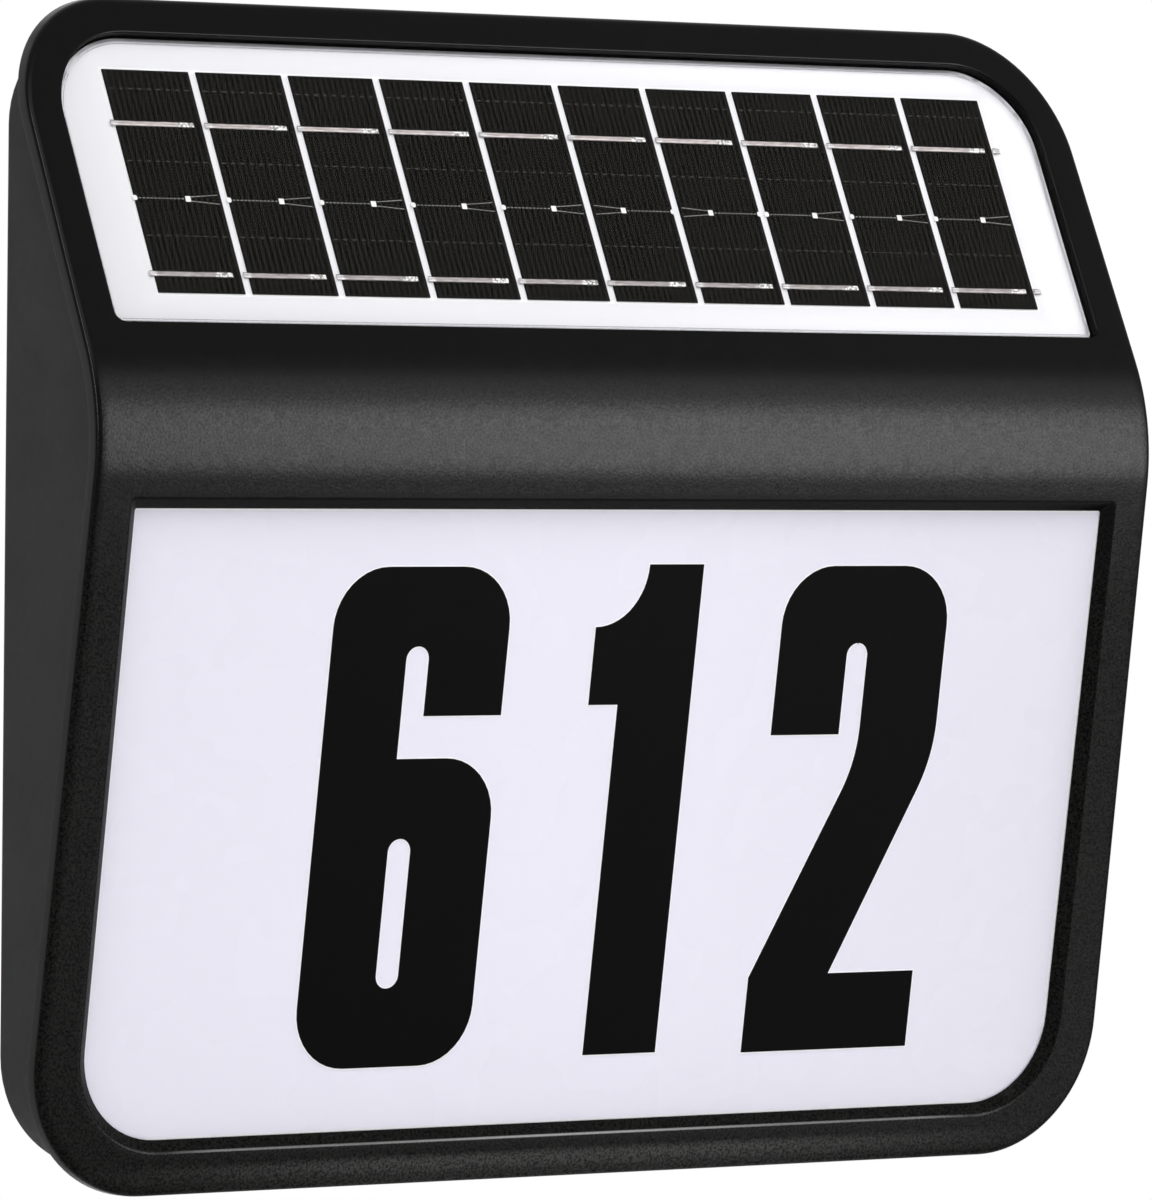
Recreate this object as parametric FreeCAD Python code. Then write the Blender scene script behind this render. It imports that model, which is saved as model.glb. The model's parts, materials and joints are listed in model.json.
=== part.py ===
import FreeCAD, Part
import math
import os

os.makedirs("parts", exist_ok=True)
Vector = FreeCAD.Vector

# Solar house number sign for a wall. All sizes are in millimetres and degrees.
# X runs to the viewer's right, Y runs into the wall and Z runs up. The origin is the
# middle of the flat back. The front is one folded face: its upper half leans back
# towards the top and carries the solar panel, its lower half leans back towards the
# bottom and carries the lit sign, and a round nose joins them.

# ---- folded front ----
nose_room = 10.5             # battery cell to the sharp corner where the two faces would meet
top_edge_depth = 4.57        # wall to the front at the top edge
bottom_edge_depth = 13.65    # wall to the front at the bottom edge
upper_length = 69.2          # corner to top edge, along the solar face
lower_length = 119.6         # corner to bottom edge, along the sign face
nose_radius = 34.0

# ---- front cover ----
cover_width = 199.6          # at the top edge
side_flare = 2.0             # each side stands out this much further at the bottom edge
cover_radius_top = 19.5
cover_radius_bottom = 21.0
cover_wall = 2.5
cover_edge_round = 0.8
land_wall = 1.25             # locating rim behind the cover, inside the housing lip
land_depth = 3.55            # front face to the rear of that rim and of the panel tray
tray_margin = 2.0            # panel tray below the panel's bottom edge
boss_radius = 3.0
pilot_radius = 1.25
pilot_spare = 0.5            # pilot hole beyond the screw's tip

# ---- rear housing ----
cover_overhang = 3.8         # cover edge beyond the housing wall
housing_wall = 2.0
lip_wall = 1.0               # thin outer lip that laps over the cover's rim
lip_clearance = 0.15
back_wall = 2.2
back_edge_round = 1.5
rib_wall = 1.4
rib_positions = (-68.0, -34.0, 34.0, 68.0)
cross_rib_drops = (48.0, 86.0)
rib_top_gap = 4.0            # ribs below the control board
rib_end_gap = 3.0            # ribs above the housing's bottom wall
rib_plate_gap = 0.3
gasket_height = 0.5

# ---- snap lugs on the top and bottom edges ----
lug_positions = (-56.0, 0.0, 56.0)
lug_width = 10.0
lug_reach = 0.75
lug_height = 0.6
lug_drop = 0.1               # lug below the cover's rear face
lug_clearance = 0.2

# ---- sign window and the lit stack behind it ----
window_side_frame = 7.5      # cover's top width to the window's sides
window_bottom_frame = 8.3    # window to the bottom edge, along the face
window_drop = 14.9           # corner to the top of the visible sign, along the face
window_radius = 14.1
bevel_depth = 1.4
bevel_width = 1.7
window_lip = 1.6             # cover thickness round the window
tape_thickness = 0.15
tape_inset = 0.2
sign_wall_gap = 0.5          # sign panel to the housing wall
sign_margin_top = 3.6        # sign panel above the window
sign_corner_radius = 0.5
sign_clearance = 0.3
sign_thickness = 2.3
guide_thickness = 3.0
guide_inset = 0.8            # light guide inside the sign panel's edge
reflector_thickness = 0.3
plate_thickness = 1.0
flange_inset = 16.3          # flange ends inside the sign panel's sides
flange_height = 5.0
flange_gap = 2.1             # room for board and lamps between flange and light guide
tab_positions = (-55.0, 0.0, 55.0)
tab_width = 9.0
tab_reach = 9.4
tab_corner_radius = 0.4
tab_hole_radius = 1.5
tab_boss_radius = 2.6
tab_screw_rise = 4.9
tab_screw_radius = 0.9
tab_screw_reach = 3.5
tab_screw_head_radius = 2.2
tab_screw_head_height = 1.6
tab_screw_socket_radius = 0.8
tab_screw_socket_depth = 0.8

# ---- lamps ----
lamp_board_inset = 10.3      # board ends inside the sign panel's sides
lamp_board_height = 3.4
lamp_board_thickness = 1.0
lamp_count = 12
lamp_end_gap = 12.5          # board end to the middle of the outer lamp
lamp_length = 3.5
lamp_height = 2.8
lamp_thickness = 0.7
resistor_count = 4
lamps_per_resistor = 3
resistor_size = 1.6
resistor_thickness = 0.5
lamp_plug_width = 5.0
lamp_plug_height = 4.0

# ---- solar panel ----
panel_side_frame = 6.2       # cover's top width to the panel's sides
panel_top_frame = 6.1        # panel to the top edge, along the face
panel_rise = 15.1            # corner to the bottom edge of the panel, along the face
panel_radius_top = 14.2
panel_radius_bottom = 1.4
panel_clearance = 0.3
panel_recess = 1.0           # cover face to the top of the panel
clear_sheet_thickness = 0.3
clear_sheet_rim = 0.9
cell_count = 10
cell_gap = 1.37
cell_thickness = 0.2
cell_side_margin = 9.44      # panel's sides to the outer cells
cell_top_margin = 5.4
cell_rise = 5.2              # panel edge to the bottom of the cells
ribbon_width = 0.9
ribbon_thickness = 0.1
lower_ribbon_rise = 2.9      # above the bottom of the cells
upper_ribbon_drop = 9.4      # below the top of the cells
ribbon_start = 0.85          # ribbon begins this far before its cell
ribbon_end = 1.5             # and stops this far short of the cell's far edge
last_tab_start = 0.2         # tinned end beyond the last cell
last_tab_end = 1.6
backsheet_thickness = 0.8
adhesive_thickness = 0.15
adhesive_inset = 0.5
adhesive_width = 7.5
adhesive_radius = 3.0
wire_hole_radius = 4.0
wire_hole_rise = 24.0

# ---- cover screws, driven from the back ----
upper_screw_inset = 15.8     # from the cover's side at its top width
upper_screw_rise = 34.0      # above the corner
upper_tower_height = 6.3     # above the wall
lower_screw_inset = 10.8
lower_screw_rise = 2.0
lower_tower_height = 14.0
tower_radius = 4.2
head_bore_radius = 3.3
tower_floor = 2.0
tower_gap = 0.15
shank_hole_radius = 1.7
screw_radius = 1.25
screw_reach = 5.0            # thread beyond the tower floor
screw_head_radius = 2.8
screw_head_height = 1.9
screw_socket_radius = 0.95
screw_socket_depth = 1.0
plug_thickness = 1.2
plug_depth = 0.3

# ---- keyhole hangers ----
keyhole_spacing = 110.0
keyhole_gap = 1.1            # pocket above the control board
keyhole_entry_radius = 4.5
keyhole_slot_radius = 2.6
keyhole_slot_length = 8.0
pocket_depth = 5.0
pocket_wall = 1.4
pocket_margin = 1.5
pocket_corner_radius = 2.0

# ---- power switch in its recess ----
switch_rise = 6.0            # above the corner
recess_radius = 9.0
recess_depth = 9.0
recess_wall = 1.6
switch_hole_radius = 5.0
switch_thread_radius = 4.8
switch_flange_radius = 6.6
switch_flange_thickness = 1.2
switch_body_length = 8.0
switch_body_radius = 6.4
switch_nut_radius = 7.6
switch_nut_thickness = 2.0
switch_nut_corner = 0.6
switch_bore_depth = 4.5      # recess floor to the end of the button's bore
button_radius = 3.6
button_clearance = 0.2
button_rise = 3.0            # button above the flange when it is out
button_travel = 2.0
button_spare = 0.3           # bore left when the button is fully in
button_dome = 0.5
terminal_width = 1.2
terminal_length = 2.5
terminal_spacing = 4.0

# ---- battery ----
battery_rise = 4.0           # above the corner
battery_radius = 9.2
battery_length = 65.0
battery_cap_radius = 3.6
battery_cap_length = 1.0
battery_clearance = 0.2
holder_base = 1.5
holder_wall = 1.4
holder_height = 13.0
holder_end_gap = 4.2
holder_tower_gap = 1.5       # holder's end to the screw tower beside it
holder_tape = 0.8
holder_tape_end_inset = 4.0
holder_tape_side_inset = 3.6
contact_thickness = 0.5
contact_width = 9.0
contact_height = 10.0
contact_nib_radius = 3.0

# ---- control board ----
board_length = 44.0
board_tower_gap = 0.8        # board's end to the screw tower beside it
board_drop = 12.0            # below the corner
board_rise = 18.0            # above the corner
board_thickness = 1.2
board_corner_radius = 1.0
board_post_height = 4.0
board_post_radius = 2.4
board_post_inset = 3.5
board_hole_radius = 1.4
board_screw_radius = 1.0
board_screw_reach = 3.0
board_screw_head_radius = 2.0
board_screw_head_height = 1.4
# places on the board are (from its left end, above the corner)
chip_places = ((11.0, -4.0), (19.0, -4.0))
chip_length = 5.0
chip_height = 4.5
chip_thickness = 1.5
regulator_place = (13.0, 6.0)
regulator_size = 4.0
regulator_thickness = 1.2
coil_place = (33.5, 4.0)
coil_size = 7.0
coil_thickness = 3.5
capacitor_place = (29.0, 5.0)
capacitor_radius = 2.5
capacitor_height = 5.5
small_part_place = (9.0, 12.5)
small_part_count = 4
small_part_pitch = 3.2
small_part_length = 2.0
small_part_height = 1.2
small_part_thickness = 0.6
side_plug_inset = 0.5
side_plug_length = 7.0
side_plug_height = 5.0
side_plug_width = 5.6
top_plug_length = 6.0
top_plug_width = 5.0
top_plug_height = 5.0
battery_plug_rise = -3.2
switch_plug_rise = 8.5
solar_plug_place = (26.0, 13.2)
lamp_plug_place = (33.0, -5.5)

# ---- insulated leads ----
lead_radius = 0.6
lead_spacing = 1.8
bend_share = 0.45            # share of the shorter run that a bend takes
panel_lead_exit = 3.6
panel_lead_rise = 3.4
lamp_lead_exit = 4.0
battery_lead_drop = 4.6      # lead's start below the corner
battery_lead_gap = 2.0       # leads below the switch recess
battery_lead_turns = (0.12, 0.28, 0.74, 0.885)
switch_lead_exit = 2.0
switch_lead_turn = 1.2

# ---- vent ----
vent_drop = 68.0             # below the corner
vent_radius = 4.5
vent_clearance = 0.2
vent_hole_radius = 2.2
vent_cap_thickness = 1.2
vent_bore_radius = 1.0
vent_bore_start = 0.6
vent_pad_radius = 7.0
vent_pad_height = 1.2
vent_barb_reach = 0.6
vent_barb_length = 1.0

# ---- values worked out from the driving dimensions ----
cell_floor = back_wall + holder_tape + holder_base + battery_clearance
corner_depth = cell_floor + 2 * battery_radius + nose_room
upper_tilt = math.degrees(math.asin((corner_depth - top_edge_depth) / upper_length))
lower_tilt = math.degrees(math.asin((corner_depth - bottom_edge_depth) / lower_length))
fold_reach = nose_radius * math.tan(math.radians((upper_tilt + lower_tilt) / 2))
cover_top = upper_length * math.cos(math.radians(upper_tilt))
cover_bottom = lower_length * math.cos(math.radians(lower_tilt))
corner_height = (cover_bottom - cover_top) / 2
corner = Vector(0, -corner_depth, corner_height)
side_slope = side_flare / (cover_top + cover_bottom)
lip_inner = cover_overhang + lip_wall
land_outer = lip_inner + lip_clearance
land_inner = land_outer + land_wall
wall_inner = cover_overhang + housing_wall
gasket_base = land_depth + gasket_height
spill = 1.0                  # how far a cutter runs past the face that it opens
far = 2 * corner_depth
wide = cover_width + side_flare

window_half = cover_width / 2 - window_side_frame
window_bottom = lower_length - window_bottom_frame
sign_top = window_drop - sign_margin_top
sign_bottom = lower_length - (wall_inner + sign_wall_gap) / math.cos(math.radians(lower_tilt))
sign_half = (cover_width / 2 + side_slope * (cover_top + sign_top)
             - wall_inner - sign_wall_gap)
sign_front = window_lip + tape_thickness
guide_front = sign_front + sign_thickness
reflector_front = guide_front + guide_thickness
plate_front = reflector_front + reflector_thickness
plate_rear = plate_front + plate_thickness
guide_top = sign_top + guide_inset
flange_top = guide_top - flange_gap - plate_thickness
flange_half = sign_half - flange_inset
lamp_board_half = sign_half - lamp_board_inset
lamp_pitch = 2 * (lamp_board_half - lamp_end_gap) / (lamp_count - 1)
lamp_board_top = -flange_top - plate_thickness
lamp_middle = (guide_front + reflector_front) / 2

panel_width = cover_width - 2 * panel_side_frame
panel_height = upper_length - panel_rise - panel_top_frame
cells_width = panel_width - 2 * cell_side_margin
cell_width = (cells_width - (cell_count - 1) * cell_gap) / cell_count
cell_height = panel_height - cell_rise - cell_top_margin
cells_bottom = panel_rise + cell_rise
ribbon_rises = (lower_ribbon_rise, cell_height - upper_ribbon_drop)
backsheet_top = panel_recess + clear_sheet_thickness + ribbon_thickness + cell_thickness
backsheet_rear = backsheet_top + backsheet_thickness
panel_floor = backsheet_rear + adhesive_thickness

upper_screw_x = cover_width / 2 - upper_screw_inset
lower_screw_x = cover_width / 2 - lower_screw_inset
tower_side = lower_screw_x - tower_radius
board_right = tower_side - board_tower_gap
board_left = board_right - board_length
board_rear = back_wall + board_post_height
board_front = board_rear + board_thickness
board_bottom = corner_height - board_drop
board_top = corner_height + board_rise
keyhole_height = board_top + keyhole_gap + pocket_wall + pocket_margin + keyhole_entry_radius
pocket_floor = back_wall + pocket_depth
holder_half = battery_length / 2 + holder_end_gap + holder_wall
battery_x = holder_tower_gap + holder_half - tower_side
battery_height = corner_height + battery_rise
battery_depth = cell_floor + battery_radius
holder_right = battery_x + holder_half
switch_x = (holder_right + board_left) / 2
switch_height = corner_height + switch_rise
recess_floor = recess_depth + recess_wall
switch_inside = recess_floor + switch_nut_thickness
switch_end = switch_inside + switch_body_length
vent_height = corner_height - vent_drop
vent_floor = back_wall + vent_pad_height

# ---- three working planes: flat shapes are drawn in XY and put on one of them ----
BACK = FreeCAD.Placement(Vector(0, 0, 0), FreeCAD.Rotation(Vector(1, 0, 0), 90))
UPPER = FreeCAD.Placement(corner, FreeCAD.Rotation(Vector(1, 0, 0), 90 - upper_tilt))
LOWER = FreeCAD.Placement(corner, FreeCAD.Rotation(Vector(1, 0, 0), 90 + lower_tilt))


def put(shape, plane):
    """The shape moved from the drawing plane to a working plane."""
    return shape.transformed(plane.toMatrix(), True)


def corner_arcs(points, radii):
    """Start, middle and end of the arc that rounds each corner of a closed outline."""
    arcs = []
    for index, point in enumerate(points):
        back = (points[index - 1] - point).normalize()
        ahead = (points[(index + 1) % len(points)] - point).normalize()
        half = back.getAngle(ahead) / 2
        reach = radii[index] / math.tan(half)
        dip = radii[index] / math.sin(half) - radii[index]
        middle = point + (back + ahead).normalize() * dip
        arcs.append((point + back * reach, middle, point + ahead * reach))
    return arcs


def outline(points, radii, height=0.0):
    """Closed wire through (x, y) corners, each rounded by its own radius."""
    corners = [Vector(x, y, height) for x, y in points]
    arcs = corner_arcs(corners, radii)
    edges = []
    for index, (start, middle, end) in enumerate(arcs):
        if radii[index] > 0:
            edges.append(Part.Arc(start, middle, end).toShape())
        following = arcs[(index + 1) % len(arcs)][0]
        if end.distanceToPoint(following) > 1e-6:
            edges.append(Part.LineSegment(end, following).toShape())
    return Part.Wire(edges)


def slab(points, radii, low, high):
    """Flat plate with a rounded outline, from height low to height high."""
    return Part.Face(outline(points, radii, low)).extrude(Vector(0, 0, high - low))


def box_corners(left, right, low, high):
    return [(left, low), (right, low), (right, high), (left, high)]


def block(left, right, low, high, near, far_side, radius=0.0):
    """Rectangular plate, drawn in XY, with one radius on its four corners."""
    return slab(box_corners(left, right, low, high), [radius] * 4, near, far_side)


def rod(x, y, radius, low, high):
    """Round bar along Z."""
    return Part.makeCylinder(radius, high - low, Vector(x, y, low))


def joined(shapes):
    """One solid from overlapping or touching shapes."""
    return shapes[0].fuse(shapes[1:]).removeSplitter()


def loose(shapes):
    """Several separate solids kept in one group."""
    return Part.makeCompound(shapes)


# ---- forms that follow the folded front ----
def behind(depth):
    """Everything behind the folded face, from a depth below it to past the wall."""
    top = UPPER.multVec(Vector(0, upper_length + far, -depth))
    upper_tangent = UPPER.multVec(Vector(0, fold_reach, -depth))
    lower_tangent = LOWER.multVec(Vector(0, -fold_reach, -depth))
    bottom = LOWER.multVec(Vector(0, -lower_length - far, -depth))
    centre = UPPER.multVec(Vector(0, fold_reach, -nose_radius))
    middle = centre + (corner - centre).normalize() * (nose_radius - depth)
    edges = [
        Part.LineSegment(top, upper_tangent).toShape(),
        Part.Arc(upper_tangent, middle, lower_tangent).toShape(),
        Part.LineSegment(lower_tangent, bottom).toShape(),
        Part.LineSegment(bottom, Vector(0, far, bottom.z)).toShape(),
        Part.LineSegment(Vector(0, far, bottom.z), Vector(0, far, top.z)).toShape(),
        Part.LineSegment(Vector(0, far, top.z), top).toShape(),
    ]
    side = Part.Face(Part.Wire(edges))
    side.translate(Vector(-wide, 0, 0))
    return side.extrude(Vector(2 * wide, 0, 0))


def band(front, rear):
    """Bent sheet between two depths below the folded face."""
    return behind(front).cut(behind(rear))


def half_width(height):
    """Half the cover's width at a height above the corner."""
    return cover_width / 2 + side_slope * (cover_top - height)


def front_prism(inset, near, far_side):
    """Block along Y with the cover's front outline drawn in by the inset."""
    top = cover_top - inset
    bottom = inset - cover_bottom
    side_inset = inset * math.hypot(1, side_slope)
    upper = half_width(top) - side_inset
    lower = half_width(bottom) - side_inset
    points = [
        (-lower, corner_height + bottom),
        (lower, corner_height + bottom),
        (upper, corner_height + top),
        (-upper, corner_height + top),
    ]
    low_radius = cover_radius_bottom - inset
    high_radius = cover_radius_top - inset
    radii = [low_radius, low_radius, high_radius, high_radius]
    return put(slab(points, radii, near, far_side), BACK)


def ring(outer_inset, inner_inset):
    """Upright wall along the front outline between two insets."""
    whole = front_prism(outer_inset, 0, far)
    return whole.cut(front_prism(inner_inset, -spill, far + spill))


# ---- front cover ----
def rim_edges(plate):
    """Edges that bound the outer skin of the bent plate."""
    skin = [face for face in plate.Faces if face.normalAt(0, 0).y < -0.5]
    edges = [edge for face in skin for edge in face.Edges]
    return [edge for edge in edges if sum(edge.isSame(other) for other in edges) == 1]


def window_outline(grow, height):
    """Sign window with square top corners and round bottom ones, grown on all sides."""
    half = window_half + grow
    points = box_corners(-half, half, -window_bottom - grow, grow - window_drop)
    low_radius = window_radius + grow
    return outline(points, [low_radius, low_radius, 0, 0], height)


def window_cutter():
    """Window through the cover, with its sloping bevel."""
    wide_end = bevel_width * (bevel_depth + spill) / bevel_depth
    bevel = Part.makeLoft([window_outline(wide_end, spill), window_outline(0, -bevel_depth)],
                          True, True)
    hole = Part.Face(window_outline(0, -cover_wall - spill)).extrude(Vector(0, 0, cover_wall))
    return put(bevel, LOWER), put(hole, LOWER)


def sign_points(grow):
    """Corner points of the sign panel, grown by a clearance."""
    half = sign_half + grow
    return box_corners(-half, half, -sign_bottom - grow, grow - sign_top)


def sign_radii(grow):
    low_radius = window_radius + sign_half - window_half + grow
    return [low_radius, low_radius, sign_corner_radius, sign_corner_radius]


def panel_points(grow):
    half = panel_width / 2 + grow
    return box_corners(-half, half, panel_rise - grow, panel_rise + panel_height + grow)


def panel_radii(grow):
    low_radius = panel_radius_bottom + grow
    high_radius = panel_radius_top + grow
    return [low_radius, low_radius, high_radius, high_radius]


def lug_seat(x, top_side, clearance):
    """Block of one snap lug; with a clearance it is the notch that takes it."""
    height = corner_height + (cover_top - lip_inner if top_side else lip_inner - cover_bottom)
    inward = -1 if top_side else 1
    low, high = sorted((height - inward * lip_wall / 2, height + inward * (lug_reach + clearance)))
    half = lug_width / 2 + clearance
    near = cover_wall + lip_clearance + lug_drop - clearance
    bar = put(block(x - half, x + half, low, high, 0, far), BACK)
    return bar.common(band(near, near + lug_height + 2 * clearance))


def lug_seats(clearance):
    return [lug_seat(x, side, clearance) for x in lug_positions for side in (True, False)]


def screw_places():
    """(x, z, tower height) of each cover screw."""
    places = []
    for x, rise, tower in ((upper_screw_x, upper_screw_rise, upper_tower_height),
                           (lower_screw_x, lower_screw_rise, lower_tower_height)):
        for side in (-1, 1):
            places.append((side * x, corner_height + rise, tower))
    return places


def tab_screw_height():
    """Place of the light plate's screws on the lower working plane."""
    return tab_screw_rise - flange_top


def tab_boss(x):
    """Boss on the lower face's plane that carries one tab of the light plate."""
    boss = put(rod(x, tab_screw_height(), tab_boss_radius, -plate_front, 0), LOWER)
    return boss.common(behind(cover_wall / 2))


def cover_boss(x, z, tower):
    """Boss for a cover screw, from the housing's tower to the cover or its panel tray."""
    column = put(rod(x, z, boss_radius, tower + tower_gap, far), BACK)
    under_tray = z > corner_height + panel_rise
    return column.common(behind((cover_wall + land_depth) / 2 if under_tray else cover_wall / 2))


def panel_tray():
    """Thicker upper half that the solar panel sinks into."""
    whole = band(cover_wall / 2, land_depth).common(front_prism(land_outer, 0, far))
    return whole.common(put(block(-wide, wide, panel_rise - tray_margin, upper_length + far,
                                  -far, 0), UPPER))


def front_cover():
    plate = band(0, cover_wall).common(front_prism(0, -spill, far))
    plate = plate.makeFillet(cover_edge_round, rim_edges(plate))
    land = band(cover_wall / 2, land_depth).common(ring(land_outer, land_inner))
    pocket = put(slab(panel_points(panel_clearance), panel_radii(panel_clearance),
                      -panel_floor, spill), UPPER)
    sign_pocket = put(slab(sign_points(sign_clearance), sign_radii(sign_clearance),
                           -cover_wall - spill, -window_lip), LOWER)
    cover = plate.cut([sign_pocket, *window_cutter()])
    bosses = []
    pilots = []
    for x, z, tower in screw_places():
        bosses.append(cover_boss(x, z, tower))
        pilots.append(put(rod(x, z, pilot_radius, 0, tower + screw_reach + pilot_spare), BACK))
    for x in tab_positions:
        bosses.append(tab_boss(x))
        pilots.append(put(rod(x, tab_screw_height(), tab_screw_radius, -plate_front - spill,
                              tab_screw_reach + pilot_spare - plate_front), LOWER))
    wire_hole = put(rod(board_left + solar_plug_place[0], wire_hole_rise, wire_hole_radius,
                        -far / 2, 0), UPPER)
    cover = cover.fuse([land, panel_tray(), *bosses]).cut([pocket, wire_hole, *pilots])
    return cover.cut(lug_seats(lug_clearance)).removeSplitter()


# ---- rear housing ----
def back_edges(tub):
    """Outer edges of the flat back."""
    return [edge for edge in tub.Edges if edge.BoundBox.YMin > -1e-6]


def screw_tower(x, z, height):
    tower = put(rod(x, z, tower_radius, back_wall / 2, height), BACK)
    head_bore = put(rod(x, z, head_bore_radius, -spill, height - tower_floor), BACK)
    shank_hole = put(rod(x, z, shank_hole_radius, 0, height + spill), BACK)
    return [tower], [head_bore, shank_hole]


def keyhole_pocket(x):
    """Closed pocket behind one keyhole, and the cuts that open it."""
    z = keyhole_height
    left = x - keyhole_entry_radius - pocket_margin
    right = x + keyhole_entry_radius + pocket_margin
    low = z - keyhole_entry_radius - pocket_margin
    high = z + keyhole_slot_length + keyhole_slot_radius + pocket_margin
    slot_end_z = z + keyhole_slot_length
    shell = put(block(left - pocket_wall, right + pocket_wall, low - pocket_wall,
                      high + pocket_wall, back_wall / 2, pocket_floor + pocket_wall,
                      pocket_corner_radius), BACK)
    room = put(block(left, right, low, high, back_wall, pocket_floor), BACK)
    entry = put(rod(x, z, keyhole_entry_radius, -spill, back_wall + spill), BACK)
    slot_end = put(rod(x, slot_end_z, keyhole_slot_radius, -spill, back_wall + spill), BACK)
    slot = put(block(x - keyhole_slot_radius, x + keyhole_slot_radius, z, slot_end_z, -spill,
                     back_wall + spill), BACK)
    return [shell], [room, entry, slot_end, slot]


def board_post_places():
    return [(x, z) for x in (board_left + board_post_inset, board_right - board_post_inset)
            for z in (board_bottom + board_post_inset, board_top - board_post_inset)]


def board_post(x, z):
    post = put(rod(x, z, board_post_radius, back_wall / 2, board_rear), BACK)
    return [post], [put(rod(x, z, board_screw_radius, back_wall, board_rear + spill), BACK)]


def switch_recess():
    cup = put(rod(switch_x, switch_height, recess_radius + recess_wall, back_wall / 2,
                  recess_floor), BACK)
    room = put(rod(switch_x, switch_height, recess_radius, -spill, recess_depth), BACK)
    hole = put(rod(switch_x, switch_height, switch_hole_radius, 0, recess_floor + spill), BACK)
    return [cup], [room, hole]


def vent_seat():
    pad = put(rod(0, vent_height, vent_pad_radius, back_wall / 2, vent_floor), BACK)
    dish = put(rod(0, vent_height, vent_radius + vent_clearance, -spill, vent_cap_thickness),
               BACK)
    return [pad], [dish, put(rod(0, vent_height, vent_hole_radius, 0, vent_floor + spill), BACK)]


def housing_ribs():
    """Upright and cross ribs that back up the light plate."""
    top = board_bottom - rib_top_gap
    bottom = corner_height - cover_bottom + wall_inner + rib_end_gap
    uprights = [put(block(x - rib_wall / 2, x + rib_wall / 2, bottom, top, back_wall / 2, far),
                    BACK) for x in rib_positions]
    crosses = [put(block(min(rib_positions), max(rib_positions),
                         corner_height - drop - rib_wall / 2,
                         corner_height - drop + rib_wall / 2, back_wall / 2, far), BACK)
               for drop in cross_rib_drops]
    room = behind(plate_rear + rib_plate_gap)
    return [rib.common(room) for rib in uprights + crosses]


def rear_housing():
    tub = behind(cover_wall + lip_clearance).common(front_prism(cover_overhang, 0, far))
    tub = tub.makeFillet(back_edge_round, back_edges(tub))
    tub = tub.cut(front_prism(wall_inner, back_wall, far))
    tub = tub.cut(front_prism(lip_inner, 0, far).cut(behind(gasket_base)))
    details = [screw_tower(*place) for place in screw_places()]
    details += [keyhole_pocket(side * keyhole_spacing / 2) for side in (-1, 1)]
    details += [board_post(x, z) for x, z in board_post_places()]
    details += [switch_recess(), vent_seat()]
    solids = housing_ribs()
    cuts = []
    for walls, openings in details:
        solids += walls
        cuts += openings
    return tub.fuse(solids).cut(cuts).fuse(lug_seats(0)).removeSplitter()


def housing_gasket():
    return band(land_depth, gasket_base).common(ring(land_outer, wall_inner))


def cover_screws():
    screws = []
    for x, z, height in screw_places():
        seat = height - tower_floor
        top = seat - screw_head_height
        head = rod(x, z, screw_head_radius, top, seat)
        shank = rod(x, z, screw_radius, seat - screw_head_height / 2, height + screw_reach)
        socket = rod(x, z, screw_socket_radius, top - spill, top + screw_socket_depth)
        screws.append(put(head.fuse(shank).cut(socket), BACK))
    return loose(screws)


def screw_plugs():
    return loose([put(rod(x, z, head_bore_radius, plug_depth, plug_depth + plug_thickness), BACK)
                  for x, z, height in screw_places()])


def vent_plug():
    cap = rod(0, vent_height, vent_radius, 0, vent_cap_thickness)
    stem = rod(0, vent_height, vent_hole_radius, 0, vent_floor)
    barb = rod(0, vent_height, vent_hole_radius + vent_barb_reach, vent_floor,
               vent_floor + vent_barb_length)
    bore = rod(0, vent_height, vent_bore_radius, vent_bore_start, far)
    return put(joined([cap, stem, barb]).cut(bore), BACK)


# ---- solar panel, bottom layer first ----
def solar_backsheet():
    return put(slab(panel_points(0), panel_radii(0), -backsheet_rear, -backsheet_top), UPPER)


def panel_adhesive():
    whole = slab(panel_points(-adhesive_inset), panel_radii(-adhesive_inset), -panel_floor,
                 -backsheet_rear)
    inner = panel_points(-adhesive_inset - adhesive_width)
    room = slab(inner, [adhesive_radius] * 4, -panel_floor - spill, 0)
    return put(whole.cut(room), UPPER)


def cell_left(index):
    return -cells_width / 2 + index * (cell_width + cell_gap)


def solar_cells():
    base = -backsheet_top
    return loose([put(block(cell_left(index), cell_left(index) + cell_width, cells_bottom,
                            cells_bottom + cell_height, base, base + cell_thickness), UPPER)
                  for index in range(cell_count)])


def ribbon(left, right, rise, base):
    """One tinned strip along X at a height above the bottom of the cells."""
    middle = cells_bottom + rise
    return put(block(left, right, middle - ribbon_width / 2, middle + ribbon_width / 2, base,
                     base + ribbon_thickness), UPPER)


def cell_ribbons():
    """Tinned ribbons: each starts in the gap before its cell and stops short of its end."""
    ribbons = []
    for rise in ribbon_rises:
        for index in range(cell_count):
            left = cell_left(index)
            ribbons.append(ribbon(left - ribbon_start, left + cell_width - ribbon_end, rise,
                                  cell_thickness - backsheet_top))
        last = cells_width / 2
        ribbons.append(ribbon(last + last_tab_start, last + last_tab_end, rise, -backsheet_top))
    return loose(ribbons)


def solar_cover_sheet():
    """Clear sheet with a shallow rim that closes the panel's edge."""
    sheet = slab(panel_points(0), panel_radii(0), -backsheet_top, -panel_recess)
    room = slab(panel_points(-clear_sheet_rim), panel_radii(-clear_sheet_rim),
                -backsheet_top - spill, -panel_recess - clear_sheet_thickness)
    return put(sheet.cut(room), UPPER)


# ---- lit stack, front layer first ----
def sign_panel():
    return put(slab(sign_points(0), sign_radii(0), -guide_front, -sign_front), LOWER)


def sign_panel_tape():
    whole = slab(sign_points(-tape_inset), sign_radii(-tape_inset), -sign_front, -window_lip)
    room = Part.Face(window_outline(tape_inset, -sign_front - spill)).extrude(
        Vector(0, 0, sign_front + spill))
    return put(whole.cut(room), LOWER)


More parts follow.
